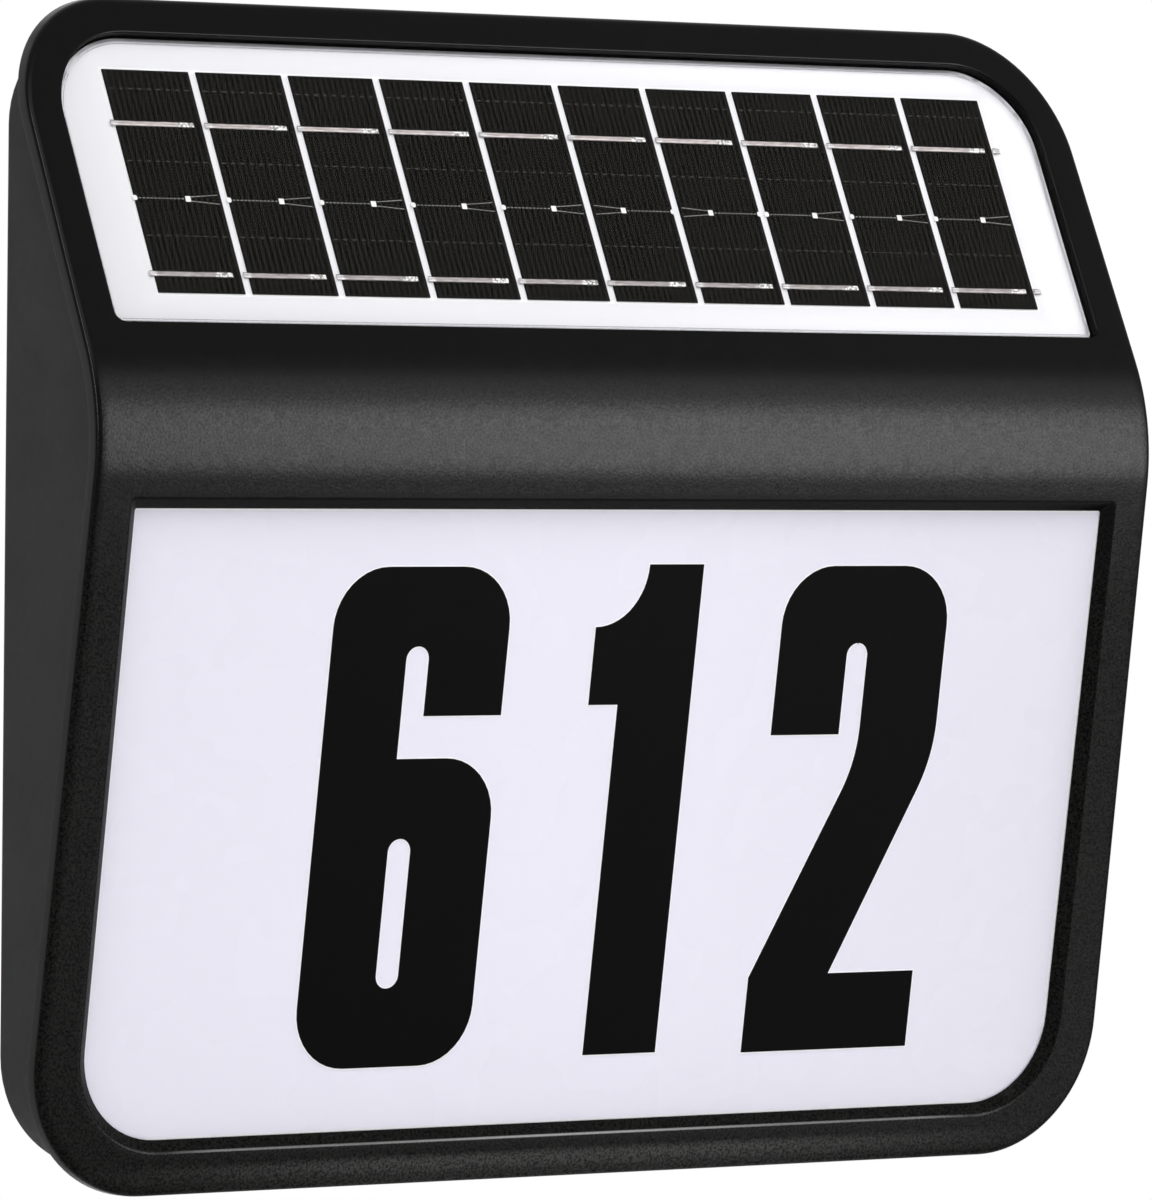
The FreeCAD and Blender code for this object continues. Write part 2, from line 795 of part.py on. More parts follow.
def guide_slab(front, rear):
    """Sheet of the light guide's outline between two depths."""
    return slab(sign_points(-guide_inset), sign_radii(-guide_inset), -rear, -front)


def light_guide_plate():
    return put(guide_slab(guide_front, reflector_front), LOWER)


def reflector_sheet():
    return put(guide_slab(reflector_front, plate_front), LOWER)


def light_plate():
    """Folded metal plate: flat back, top flange for the lamps and three screw tabs."""
    upright = block(-flange_half, flange_half, -guide_top - spill, -flange_top, -plate_rear,
                    -plate_front)
    flange = block(-flange_half, flange_half, lamp_board_top, -flange_top, -plate_rear,
                   flange_height - plate_rear)
    tabs = [block(x - tab_width / 2, x + tab_width / 2, lamp_board_top, tab_reach - flange_top,
                  -plate_rear, -plate_front, tab_corner_radius) for x in tab_positions]
    holes = [rod(x, tab_screw_height(), tab_hole_radius, -plate_rear - spill, 0)
             for x in tab_positions]
    flat = guide_slab(plate_front, plate_rear)
    return put(joined([flat, upright, flange, *tabs]).cut(holes), LOWER)


def light_plate_screws():
    screws = []
    top = -plate_rear - tab_screw_head_height
    y = tab_screw_height()
    for x in tab_positions:
        head = rod(x, y, tab_screw_head_radius, top, -plate_rear)
        shank = rod(x, y, tab_screw_radius, -plate_rear - tab_screw_head_height / 2,
                    tab_screw_reach - plate_front)
        socket = rod(x, y, tab_screw_socket_radius, top - spill, top + tab_screw_socket_depth)
        screws.append(put(head.fuse(shank).cut(socket), LOWER))
    return loose(screws)


# ---- lamps along the top of the light guide ----
def lamp_board():
    return put(block(-lamp_board_half, lamp_board_half, lamp_board_top - lamp_board_thickness,
                     lamp_board_top, -lamp_middle - lamp_board_height / 2,
                     lamp_board_height / 2 - lamp_middle), LOWER)


def lamp_row(count, pitch, length, height, thickness, offset):
    """Small blocks under the lamp board, side by side."""
    top = lamp_board_top - lamp_board_thickness
    row = []
    for index in range(count):
        x = offset + (index - (count - 1) / 2) * pitch
        row.append(put(block(x - length / 2, x + length / 2, top - thickness, top,
                             -lamp_middle - height / 2, height / 2 - lamp_middle), LOWER))
    return loose(row)


def lamps():
    return lamp_row(lamp_count, lamp_pitch, lamp_length, lamp_height, lamp_thickness, 0)


def lamp_resistors():
    return lamp_row(resistor_count, lamps_per_resistor * lamp_pitch, resistor_size * 2,
                    resistor_size, resistor_thickness, lamp_pitch / 2)


def lamp_plug():
    half = lamp_board_height / 2
    return put(block(lamp_board_half - lamp_plug_width, lamp_board_half, lamp_board_top,
                     lamp_board_top + lamp_plug_height, -lamp_middle - half,
                     half - lamp_middle), LOWER)


# ---- battery ----
def along_x(x, radius, length):
    """Round bar along X on the cell's axis."""
    return Part.makeCylinder(radius, length, Vector(x, -battery_depth, battery_height),
                             Vector(1, 0, 0))


def battery_cell():
    left = battery_x - battery_length / 2
    can = along_x(left, battery_radius, battery_length - battery_cap_length)
    return can.fuse(along_x(left, battery_cap_radius, battery_length))


def battery_holder():
    """Open trough with end walls."""
    trough_radius = battery_radius + battery_clearance
    half = trough_radius + holder_wall
    inner = holder_half - holder_wall
    low = back_wall + holder_tape
    body = put(block(battery_x - holder_half, battery_x + holder_half, battery_height - half,
                     battery_height + half, low, low + holder_height), BACK)
    trough = along_x(battery_x - inner, trough_radius, 2 * inner)
    opening = put(block(battery_x - inner, battery_x + inner, battery_height - trough_radius,
                        battery_height + trough_radius, battery_depth, far), BACK)
    return body.cut([trough, opening])


def battery_tape():
    half_x = holder_half - holder_tape_end_inset
    half_z = battery_radius + battery_clearance + holder_wall - holder_tape_side_inset
    return put(block(battery_x - half_x, battery_x + half_x, battery_height - half_z,
                     battery_height + half_z, back_wall, back_wall + holder_tape), BACK)


def battery_contacts():
    """Flat contact plates at both ends, each with a round nib that presses on the cell."""
    contacts = []
    for side in (-1, 1):
        wall_x = battery_x + side * (holder_half - holder_wall)
        left, right = sorted((wall_x, wall_x - side * contact_thickness))
        plate = put(block(left, right, battery_height - contact_width / 2,
                          battery_height + contact_width / 2,
                          battery_depth - contact_height / 2,
                          battery_depth + contact_height / 2), BACK)
        start, end = sorted((wall_x - side * contact_thickness / 2,
                             battery_x + side * battery_length / 2))
        contacts.append(plate.fuse(along_x(start, contact_nib_radius, end - start)))
    return loose(contacts)


# ---- control board ----
def on_board(place, length, height, thickness):
    """Block standing on the board's front face, its lower left corner at a place."""
    left = board_left + place[0]
    low = corner_height + place[1]
    return put(block(left, left + length, low, low + height, board_front,
                     board_front + thickness), BACK)


def control_board():
    board = block(board_left, board_right, board_bottom, board_top, board_rear, board_front,
                  board_corner_radius)
    holes = [rod(x, z, board_hole_radius, 0, far) for x, z in board_post_places()]
    return put(board.cut(holes), BACK)


def board_screws():
    screws = []
    for x, z in board_post_places():
        head = rod(x, z, board_screw_head_radius, board_front,
                   board_front + board_screw_head_height)
        shank = rod(x, z, board_screw_radius, board_rear - board_screw_reach,
                    board_front + board_screw_head_height / 2)
        screws.append(put(head.fuse(shank), BACK))
    return loose(screws)


def board_chips():
    chips = [on_board(place, chip_length, chip_height, chip_thickness) for place in chip_places]
    chips.append(on_board(regulator_place, regulator_size, regulator_size, regulator_thickness))
    return loose(chips)


def board_parts():
    """Coil, capacitor and a row of small resistors."""
    coil = on_board(coil_place, coil_size, coil_size, coil_thickness)
    capacitor = put(rod(board_left + capacitor_place[0], corner_height + capacitor_place[1],
                        capacitor_radius, board_front, board_front + capacitor_height), BACK)
    left, rise = small_part_place
    row = [on_board((left + index * small_part_pitch, rise), small_part_length,
                    small_part_height, small_part_thickness)
           for index in range(small_part_count)]
    return loose([coil, capacitor, *row])


def board_plugs():
    """Four wire sockets: two open to the side and two open to the front."""
    sockets = []
    for rise in (battery_plug_rise, switch_plug_rise):
        place = (side_plug_inset, rise - side_plug_width / 2)
        sockets.append(on_board(place, side_plug_length, side_plug_width, side_plug_height))
    for x, rise in (solar_plug_place, lamp_plug_place):
        place = (x - top_plug_length / 2, rise - top_plug_width / 2)
        sockets.append(on_board(place, top_plug_length, top_plug_width, top_plug_height))
    return loose(sockets)


# ---- insulated leads ----
def lead(points):
    """Round wire along straight runs, with each turn made in two mitred steps."""
    path = [points[0]]
    for before, point, after in zip(points, points[1:], points[2:]):
        back = before - point
        ahead = after - point
        reach = bend_share * min(back.Length, ahead.Length)
        path += [point + back.normalize() * reach, point + ahead.normalize() * reach]
    path.append(points[-1])
    section = Part.Wire(Part.makeCircle(lead_radius, path[0], path[1] - path[0]))
    mitred = 1
    return Part.Wire(Part.makePolygon(path)).makePipeShell([section], True, False, mitred)


def lead_pair(route):
    """Two leads side by side; the route gives the points for a sideways shift."""
    return loose([lead(route(side * lead_spacing / 2)) for side in (-1, 1)])


def panel_leads():
    """From the back of the solar panel through the cover to the board."""
    x = board_left + solar_plug_place[0]
    z = corner_height + solar_plug_place[1]
    top = -board_front - top_plug_height

    def route(shift):
        return [
            UPPER.multVec(Vector(x + shift, wire_hole_rise, -backsheet_rear)),
            UPPER.multVec(Vector(x + shift, wire_hole_rise, -backsheet_rear - panel_lead_exit)),
            Vector(x + shift, top - panel_lead_rise, z),
            Vector(x + shift, top, z),
        ]

    return lead_pair(route)


def lamp_leads():
    """From the lamp board's plug to the board."""
    x = board_left + lamp_plug_place[0]
    z = corner_height + lamp_plug_place[1]
    top = -board_front - top_plug_height
    plug_x = lamp_board_half - lamp_plug_width / 2
    rise = lamp_board_top + lamp_plug_height / 2
    rear_face = -lamp_middle - lamp_board_height / 2

    def route(shift):
        return [
            LOWER.multVec(Vector(plug_x, rise + shift, rear_face)),
            LOWER.multVec(Vector(plug_x, rise + shift, rear_face - lamp_lead_exit)),
            Vector(x, top - lamp_lead_exit, z + shift),
            Vector(x, top, z + shift),
        ]

    return lead_pair(route)


def battery_leads():
    """From the holder's end, under the switch recess, to the board."""
    depth = -board_front - side_plug_height / 2
    end_x = board_left + side_plug_inset
    start_z = corner_height - battery_lead_drop
    under_z = switch_height - recess_radius - recess_wall - battery_lead_gap
    end_z = corner_height + battery_plug_rise
    heights = (start_z, under_z, under_z, end_z)

    def route(shift):
        turns = [Vector(holder_right + share * (end_x - holder_right), depth, height + shift)
                 for share, height in zip(battery_lead_turns, heights)]
        return [Vector(holder_right, depth, start_z + shift), *turns,
                Vector(end_x, depth, end_z + shift)]

    return lead_pair(route)


def terminal_height(side):
    return switch_height + side * terminal_spacing / 2


def switch_leads():
    """From the switch terminals to the board."""
    tip = -switch_end - terminal_length
    socket = -board_front - side_plug_height / 2
    turn_x = (switch_x + recess_radius + recess_wall + board_left) / 2

    def route(shift):
        z = terminal_height(math.copysign(1, shift))
        end_z = corner_height + switch_plug_rise + shift
        return [
            Vector(switch_x, tip, z),
            Vector(switch_x, tip - switch_lead_exit, z),
            Vector(turn_x, tip - switch_lead_turn, end_z),
            Vector(turn_x, socket, end_z),
            Vector(board_left + side_plug_inset, socket, end_z),
        ]

    return lead_pair(route)


# ---- power switch ----
def switch_body():
    """Round latching switch: flange in the recess, thread through the floor, body inside."""
    half = terminal_width / 2
    flange = rod(switch_x, switch_height, switch_flange_radius,
                 recess_depth - switch_flange_thickness, recess_depth)
    thread = rod(switch_x, switch_height, switch_thread_radius,
                 recess_depth - switch_flange_thickness / 2, switch_inside + half)
    body = rod(switch_x, switch_height, switch_body_radius, switch_inside, switch_end)
    terminals = [block(switch_x - half, switch_x + half, terminal_height(side) - half,
                       terminal_height(side) + half, switch_end - half,
                       switch_end + terminal_length) for side in (-1, 1)]
    bore = rod(switch_x, switch_height, button_radius + button_clearance, 0,
               recess_depth + switch_bore_depth)
    return put(joined([flange, thread, body, *terminals]).cut(bore), BACK)


def switch_nut():
    """Six-sided nut that holds the switch in the recess floor."""
    points = []
    for index in range(6):
        angle = math.radians(60 * index)
        points.append((switch_x + switch_nut_radius * math.cos(angle),
                       switch_height + switch_nut_radius * math.sin(angle)))
    nut = slab(points, [switch_nut_corner] * 6, recess_floor, switch_inside)
    return put(nut.cut(rod(switch_x, switch_height, switch_thread_radius, 0, far)), BACK)


def switch_button():
    """Domed push button that slides in the switch body."""
    top = recess_depth - switch_flange_thickness - button_rise
    foot = recess_depth + switch_bore_depth - button_travel - button_spare
    button = put(rod(switch_x, switch_height, button_radius, top, foot), BACK)
    rounded = [edge for edge in button.Edges if edge.BoundBox.YMin > -top - 1e-6]
    return button.makeFillet(button_dome, rounded)


pieces = {
    "front_cover": front_cover,
    "rear_housing": rear_housing,
    "housing_gasket": housing_gasket,
    "cover_screws": cover_screws,
    "screw_plugs": screw_plugs,
    "vent_plug": vent_plug,
    "solar_backsheet": solar_backsheet,
    "panel_adhesive": panel_adhesive,
    "solar_cells": solar_cells,
    "cell_ribbons": cell_ribbons,
    "solar_cover_sheet": solar_cover_sheet,
    "sign_panel": sign_panel,
    "sign_panel_tape": sign_panel_tape,
    "light_guide_plate": light_guide_plate,
    "reflector_sheet": reflector_sheet,
    "light_plate": light_plate,
    "light_plate_screws": light_plate_screws,
    "lamp_board": lamp_board,
    "lamps": lamps,
    "lamp_resistors": lamp_resistors,
    "lamp_plug": lamp_plug,
    "battery_cell": battery_cell,
    "battery_holder": battery_holder,
    "battery_tape": battery_tape,
    "battery_contacts": battery_contacts,
    "control_board": control_board,
    "board_screws": board_screws,
    "board_chips": board_chips,
    "board_parts": board_parts,
    "board_plugs": board_plugs,
    "panel_leads": panel_leads,
    "lamp_leads": lamp_leads,
    "battery_leads": battery_leads,
    "switch_leads": switch_leads,
    "switch_body": switch_body,
    "switch_nut": switch_nut,
    "switch_button": switch_button,
}

for name, make in pieces.items():
    shape = make()
    sound = "sound" if shape.isValid() else "BROKEN"
    print(f"{name}: {len(shape.Solids)} solids, {shape.Volume:.1f} mm3, {sound}")
    shape.exportStep(f"parts/{name}.step")
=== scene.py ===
"""Looks of a solar house number sign for a wall.

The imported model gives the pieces, their places and what moves. This file gives the folded
cover a finely rounded skin, draws the number, prints and solders the solar cells, finishes
every surface and sets up the light and the camera. Sizes are in metres.
"""

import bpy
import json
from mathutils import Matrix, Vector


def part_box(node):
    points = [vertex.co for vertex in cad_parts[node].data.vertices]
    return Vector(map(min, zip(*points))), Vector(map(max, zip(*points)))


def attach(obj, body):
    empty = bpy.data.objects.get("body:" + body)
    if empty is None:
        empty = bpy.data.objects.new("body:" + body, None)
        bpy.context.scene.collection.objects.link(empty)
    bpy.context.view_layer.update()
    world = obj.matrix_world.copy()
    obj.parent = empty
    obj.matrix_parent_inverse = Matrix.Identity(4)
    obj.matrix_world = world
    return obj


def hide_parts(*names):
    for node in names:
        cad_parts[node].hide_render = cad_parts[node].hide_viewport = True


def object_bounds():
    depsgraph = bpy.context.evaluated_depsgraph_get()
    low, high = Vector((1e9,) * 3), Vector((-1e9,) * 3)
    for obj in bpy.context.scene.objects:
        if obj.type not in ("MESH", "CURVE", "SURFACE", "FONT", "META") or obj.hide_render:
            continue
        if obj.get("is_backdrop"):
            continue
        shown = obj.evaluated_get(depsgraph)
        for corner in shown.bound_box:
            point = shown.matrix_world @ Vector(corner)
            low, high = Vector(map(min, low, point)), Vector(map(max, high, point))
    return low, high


bl_info = {
    "name": "Solar house number sign",
    "version": (1, 0, 0),
    "blender": (4, 5, 0),
    "location": "View3D > Sidebar > House number",
    "description": "Skin, number, solar cells, finishes, light and camera of a folded wall sign",
    "category": "Add Mesh",
}

import json
import math

import bmesh
import bpy
import numpy as np
from bpy.props import (FloatProperty, FloatVectorProperty, IntProperty, PointerProperty,
                       StringProperty)
from mathutils import Vector
from mathutils.geometry import delaunay_2d_cdt

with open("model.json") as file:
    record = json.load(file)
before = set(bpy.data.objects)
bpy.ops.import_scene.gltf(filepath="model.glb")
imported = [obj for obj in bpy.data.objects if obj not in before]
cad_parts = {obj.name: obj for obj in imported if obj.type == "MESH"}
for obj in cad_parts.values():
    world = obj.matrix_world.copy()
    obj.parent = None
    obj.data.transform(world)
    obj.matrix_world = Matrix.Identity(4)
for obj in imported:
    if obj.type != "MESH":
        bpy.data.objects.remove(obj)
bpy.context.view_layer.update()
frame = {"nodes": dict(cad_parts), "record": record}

MM = 0.001

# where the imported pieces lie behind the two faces
TAPE = 0.15 * MM             # tape between the window's rear and the sign panel
SIGN_THICKNESS = 2.3 * MM
SIGN_CLEARANCE = 0.3 * MM    # round the sign panel in its pocket
CELL_HEIGHT = -1.4 * MM      # front of the cells, from the solar face
BACKING_HEIGHT = -1.6 * MM   # front of the white sheet under them
SINK = 0.01 * MM             # how far a printed layer sinks into what carries it

FINISHES = {}                # every finish by its slot, made by the first step


# ---- sizes and colours that a user would change ----
def length(name, description, millimetres):
    """A length property, given in millimetres and kept in metres."""
    return FloatProperty(name=name, description=description, default=millimetres * MM,
                         unit="LENGTH", subtype="DISTANCE", precision=5)


def colour(name, description, red, green, blue):
    """A colour property, with linear values."""
    return FloatVectorProperty(name=name, description=description, default=(red, green, blue),
                               subtype="COLOR", min=0.0, max=1.0)


class CoverSizes(bpy.types.PropertyGroup):
    """Shape of the folded cover."""
    corner_depth: length("Corner depth", "Wall to the corner where both faces would meet", 33.6)
    top_edge_depth: length("Top edge depth", "Wall to the front at the top edge", 4.57)
    bottom_edge_depth: length("Bottom edge depth", "Wall to the front at the bottom", 13.65)
    upper_length: length("Upper face", "Corner to the top edge along the solar face", 69.2)
    lower_length: length("Lower face", "Corner to the bottom edge along the sign face", 119.6)
    nose_radius: length("Nose radius", "Round between the two faces", 34.0)
    width: length("Width", "Width at the top edge", 199.6)
    side_flare: length("Side flare", "How much further each side stands out at the bottom", 2.0)
    radius_top: length("Top corner radius", "Outer corners at the top", 19.5)
    radius_bottom: length("Bottom corner radius", "Outer corners at the bottom", 21.0)
    wall: length("Wall", "Thickness of the overhanging edge", 2.5)
    edge_round: length("Edge round", "Round of the front edge", 0.9)
    rim_inset: length("Rim inset", "Edge to the locating rim behind the cover", 4.95)
    rim_depth: length("Rim depth", "Front face to the rear of the locating rim", 3.55)


class WindowSizes(bpy.types.PropertyGroup):
    """Sign window in the cover's lower face."""
    side_frame: length("Side frame", "Cover's top width to the window's sides", 7.5)
    bottom_frame: length("Bottom frame", "Window to the bottom edge along the face", 8.3)
    drop: length("Drop", "Corner to the top of the visible sign", 14.9)
    radius: length("Radius", "Round of the window's bottom corners", 14.1)
    bevel_depth: length("Bevel depth", "How deep the sloping edge goes", 1.4)
    bevel_width: length("Bevel width", "How wide the sloping edge is", 1.7)
    lip: length("Lip", "Cover thickness round the window", 1.6)


class PanelSizes(bpy.types.PropertyGroup):
    """Solar panel in the cover's upper face."""
    side_frame: length("Side frame", "Cover's top width to the panel's sides", 6.2)
    top_frame: length("Top frame", "Panel to the top edge along the face", 6.1)
    rise: length("Rise", "Corner to the panel's bottom edge", 15.1)
    radius_top: length("Top radius", "Round of the panel's top corners", 14.2)
    radius_bottom: length("Bottom radius", "Round of the panel's bottom corners", 1.4)
    clearance: length("Clearance", "Gap between panel and recess", 0.3)
    floor: length("Floor", "Depth of the recess below the face", 2.55)
    cell_count: IntProperty(name="Cells", description="Solar cells in a row", default=10, min=1)
    cell_gap: length("Cell gap", "Gap between cells", 1.37)
    side_margin: length("Side margin", "Panel's sides to the outer cells", 9.44)
    top_margin: length("Top margin", "Panel's top edge to the cells", 5.4)
    bottom_margin: length("Bottom margin", "Panel's bottom edge to the cells", 5.2)
    lower_ribbon: length("Lower ribbon", "Cell bottom to the lower ribbon", 3.1)
    upper_ribbon: length("Upper ribbon", "Cell top to the upper ribbon", 9.1)
    middle_line: length("Middle line", "Cell bottom to the printed middle line", 15.75)


class NumberSizes(bpy.types.PropertyGroup):
    """Vinyl number on the lit sign."""
    digits: StringProperty(name="Digits", description="Digits drawn from 1, 2 and 6",
                           default="612")
    height: length("Height", "Height of a digit", 78.0)
    top: length("Top", "Corner to the top of the digits along the sign face", 23.5)
    left: length("Left", "Left side of the first digit", -54.4)
    spacing: length("Spacing", "Gap between digits", 16.4)
    thickness: length("Thickness", "Vinyl thickness", 0.1)
    # painted bright halo round each digit
    painted_halo: length("Halo", "Bright edge round each digit", 0.18)


class Colours(bpy.types.PropertyGroup):
    """Colours of the visible finishes."""
    cover: colour("Cover", "Moulded front cover", 0.0013, 0.0013, 0.0012)
    housing: colour("Housing", "Moulded rear housing", 0.028, 0.028, 0.028)
    sign: colour("Sign", "Opal sign panel", 0.868, 0.852, 0.96)
    number: colour("Number", "Vinyl digits", 0.0010, 0.0010, 0.0010)
    cell: colour("Cell", "Coated silicon", 0.0018, 0.0016, 0.0014)
    backing: colour("Backing", "White sheet under the cells", 0.96, 0.955, 0.99)


# ---- the folded front as a surface ----
class Fold:
    """Two flat faces joined by a round nose, at any depth below the outer skin."""

    def __init__(self, sizes):
        self.depth = sizes.corner_depth
        self.up = math.asin((sizes.corner_depth - sizes.top_edge_depth) / sizes.upper_length)
        self.down = math.asin((sizes.corner_depth - sizes.bottom_edge_depth)
                              / sizes.lower_length)
        self.top = sizes.upper_length * math.cos(self.up)
        self.bottom = sizes.lower_length * math.cos(self.down)
        self.height = (self.bottom - self.top) / 2
        self.radius = sizes.nose_radius
        self.reach = self.radius * math.tan((self.up + self.down) / 2)
        self.centre_y = (-self.depth + math.sin(self.up) * self.reach
                         + math.cos(self.up) * self.radius)
        self.centre_z = (self.height + math.cos(self.up) * self.reach
                         - math.sin(self.up) * self.radius)

    def nose(self, depth):
        """Heights where the nose meets the lower and the upper face."""
        radius = self.radius - depth
        return (self.centre_z - radius * math.sin(self.down),
                self.centre_z + radius * math.sin(self.up))

    def skin(self, x, z, depth):
        """Points on the skin: y is the lower plane, the nose's circle or the upper plane."""
        x, z, depth = np.broadcast_arrays(x, z, depth)
        rise = z - self.height
        upper, lower = (-self.depth + rise * math.tan(lean) + depth / math.cos(lean)
                        for lean in (self.up, -self.down))
        radius = self.radius - depth
        offset = z - self.centre_z
        circle = self.centre_y - np.sqrt(np.maximum(radius ** 2 - offset ** 2, 0.0))
        y = np.where(offset > radius * math.sin(self.up), upper,
                     np.where(offset < -radius * math.sin(self.down), lower, circle))
        return np.stack([x, y, z], axis=-1)

    def on_plane(self, lean, x, v, w):
        """Points on a face that leans back: v runs up from the corner, w stands out of it."""
        x, v, w = np.broadcast_arrays(x, v, w)
        return np.stack([x, -self.depth + v * math.sin(lean) - w * math.cos(lean),
                         self.height + v * math.cos(lean) + w * math.sin(lean)], axis=-1)

    def on_upper(self, x, v, w):
        """Points on the solar face."""
        return self.on_plane(self.up, x, v, w)

    def on_lower(self, x, v, w):
        """Points on the sign face, which leans forward."""
        return self.on_plane(-self.down, x, v, w)


# ---- outlines ----
def rounded_loop(corners, radii, arc_steps, side_steps):
    """Closed loop of flat points: each corner is an arc turned about its centre in even
    steps, and each side between two arcs is divided evenly."""
    corners = np.asarray(corners, float)
    stretches = []
    ends = []
    for index, corner in enumerate(corners):
        back = corners[index - 1] - corner
        ahead = corners[(index + 1) % len(corners)] - corner
        back /= np.linalg.norm(back)
        ahead /= np.linalg.norm(ahead)
        half = math.acos(np.clip(back @ ahead, -1, 1)) / 2
        reach = radii[index] / math.tan(half)
        middle = (back + ahead) / np.linalg.norm(back + ahead)
        centre = corner + middle * radii[index] / math.sin(half)
        sweep = (math.pi - 2 * half) * np.sign(back[1] * ahead[0] - back[0] * ahead[1])
        angles = np.linspace(0, sweep, arc_steps + 1)
        spoke = corner + back * reach - centre
        turned = np.stack([spoke[0] * np.cos(angles) - spoke[1] * np.sin(angles),
                           spoke[0] * np.sin(angles) + spoke[1] * np.cos(angles)], axis=-1)
        stretches.append(centre + turned)
        ends.append((corner + back * reach, corner + ahead * reach))
    loop = []
    for index, stretch in enumerate(stretches):
        share = np.linspace(0, 1, side_steps + 2)[1:-1, None]
        following = ends[(index + 1) % len(ends)][0]
        loop += [stretch, ends[index][1] * (1 - share) + following * share]
    return np.concatenate(loop)


def box_corners(left, right, low, high):
    return [(left, low), (right, low), (right, high), (left, high)]


def without_doubles(loop):
    """The loop without points that repeat the one before."""
    gap = np.linalg.norm(loop - np.roll(loop, 1, axis=0), axis=1)
    return loop[gap > 1e-4]


def grown(loop, distance):
    """The loop moved outwards: each point goes along the mean of its two side normals."""
    ahead = np.roll(loop, -1, axis=0) - loop
    ahead /= np.maximum(np.linalg.norm(ahead, axis=1, keepdims=True), 1e-12)
    mean = ahead + np.roll(ahead, 1, axis=0)
    mean /= np.maximum(np.linalg.norm(mean, axis=1, keepdims=True), 1e-12)
    normal = np.stack([mean[:, 1], -mean[:, 0]], axis=-1)
    turn = np.sum(ahead * np.roll(ahead, 1, axis=0), axis=1)
    stretch = 1 / np.sqrt(np.maximum((1 + turn) / 2, 0.25))
    outward = distance * np.sign(signed_area(loop))
    return loop + normal * (outward * stretch)[:, None]


def eased(points, cuts, steps=5):
    """Polyline whose inner corners are cut back and bridged by a quadratic curve."""
    points = np.asarray(points, float)
    path = [points[:1]]
    share = np.linspace(0, 1, steps + 1)[:, None]
    for before, point, after, cut in zip(points, points[1:], points[2:], cuts):
        start = point + (before - point) * cut / np.linalg.norm(before - point)
        end = point + (after - point) * cut / np.linalg.norm(after - point)
        path.append(start * (1 - share) ** 2 + point * 2 * share * (1 - share)
                    + end * share ** 2)
    path.append(points[-1:])
    return np.concatenate(path)


# ---- meshes ----
def loft(rings):
    """Quads between closed rings of equal length, one after another."""
    rings = np.asarray(rings)
    count, size = rings.shape[:2]
    here = np.arange(size)
    step = np.roll(here, -1)
    rows = np.arange(count - 1)[:, None] * size
    faces = np.stack([rows + here, rows + step, rows + size + step, rows + size + here],
                     axis=-1)
    return rings.reshape(-1, 3), faces.reshape(-1, 4).tolist()


def signed_area(loop):
    """Area of a flat loop, negative where it runs clockwise."""
    following = np.roll(loop, -1, axis=0)
    return np.sum(loop[:, 0] * following[:, 1] - following[:, 0] * loop[:, 1]) / 2


def filled(loops, inner=None):
    """Triangles over flat points: the first loop is the border, the others are holes, and
    the inner points are joined in by Delaunay's rule."""
    points = np.concatenate([*loops, *([] if inner is None else [inner])])
    borders = []
    start = 0
    for place, loop in enumerate(loops):
        index = list(range(start, start + len(loop)))
        runs_forward = signed_area(loop) > 0
        borders.append(index if runs_forward == (place == 0) else index[::-1])
        start += len(loop)
    inside_with_holes = 2
    cut = delaunay_2d_cdt([Vector(point) for point in (points / MM).tolist()], [], borders,
                          inside_with_holes, 1e-5)
    origin = [sources[0] for sources in cut[3]]
    return points, [[origin[corner] for corner in face] for face in cut[2]]


def merged(parts):
    """One vertex array and one face list from several."""
    vertices = []
    faces = []
    start = 0
    for points, polygons in parts:
        vertices.append(np.asarray(points).reshape(-1, 3))
        faces += [[corner + start for corner in polygon] for polygon in polygons]
        start += len(vertices[-1])
    return np.concatenate(vertices), faces


def plate(loops, low, high, plane):
    """Flat plate with holes, put on a working plane between two heights."""
    flat, faces = filled(loops)
    sides = [loft([plane(*loop.T, low), plane(*loop.T, high)]) for loop in loops]
    caps = [(plane(*flat.T, height), faces) for height in (low, high)]
    return merged([*caps, *sides])


def new_object(name, data):
    """An object at the origin, in the scene."""
    item = bpy.data.objects.new(name, data)
    bpy.context.scene.collection.objects.link(item)
    return item


def new_piece(name, part, slot, material=None, body="sign", sharp=30.0, recalculate=True):
    """A merged, smooth-shaded mesh object that rides on a body, in its slot's finish unless
    another is given."""
    points, faces = part
    mesh = bpy.data.meshes.new(name)
    mesh.from_pydata(np.asarray(points).tolist(), [], faces)
    work = bmesh.new()
    work.from_mesh(mesh)
    bmesh.ops.remove_doubles(work, verts=work.verts, dist=2e-7)
    if recalculate:
        bmesh.ops.recalc_face_normals(work, faces=work.faces)
    work.to_mesh(mesh)
    work.free()
    mesh.shade_smooth()
    mesh.set_sharp_from_angle(angle=math.radians(sharp))
    mesh.materials.append(material or FINISHES[slot])
    piece = new_object(name, mesh)
    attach(piece, body)
    return piece


def smooth_copy(node, name, slot, body):
    """A merged copy of a model node with soft shading over its rounds."""
    source = frame["nodes"][node].data
    work = bmesh.new()
    work.from_mesh(source)
    bmesh.ops.remove_doubles(work, verts=work.verts, dist=1e-6)
    points = np.array([vertex.co for vertex in work.verts])
    faces = [[vertex.index for vertex in face.verts] for face in work.faces]
    work.free()
    piece = new_piece(name, (points, faces), slot, None, body, 28.0, False)
    weighted = piece.modifiers.new("Even shading", "WEIGHTED_NORMAL")
    weighted.keep_sharp = True
    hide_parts(node)


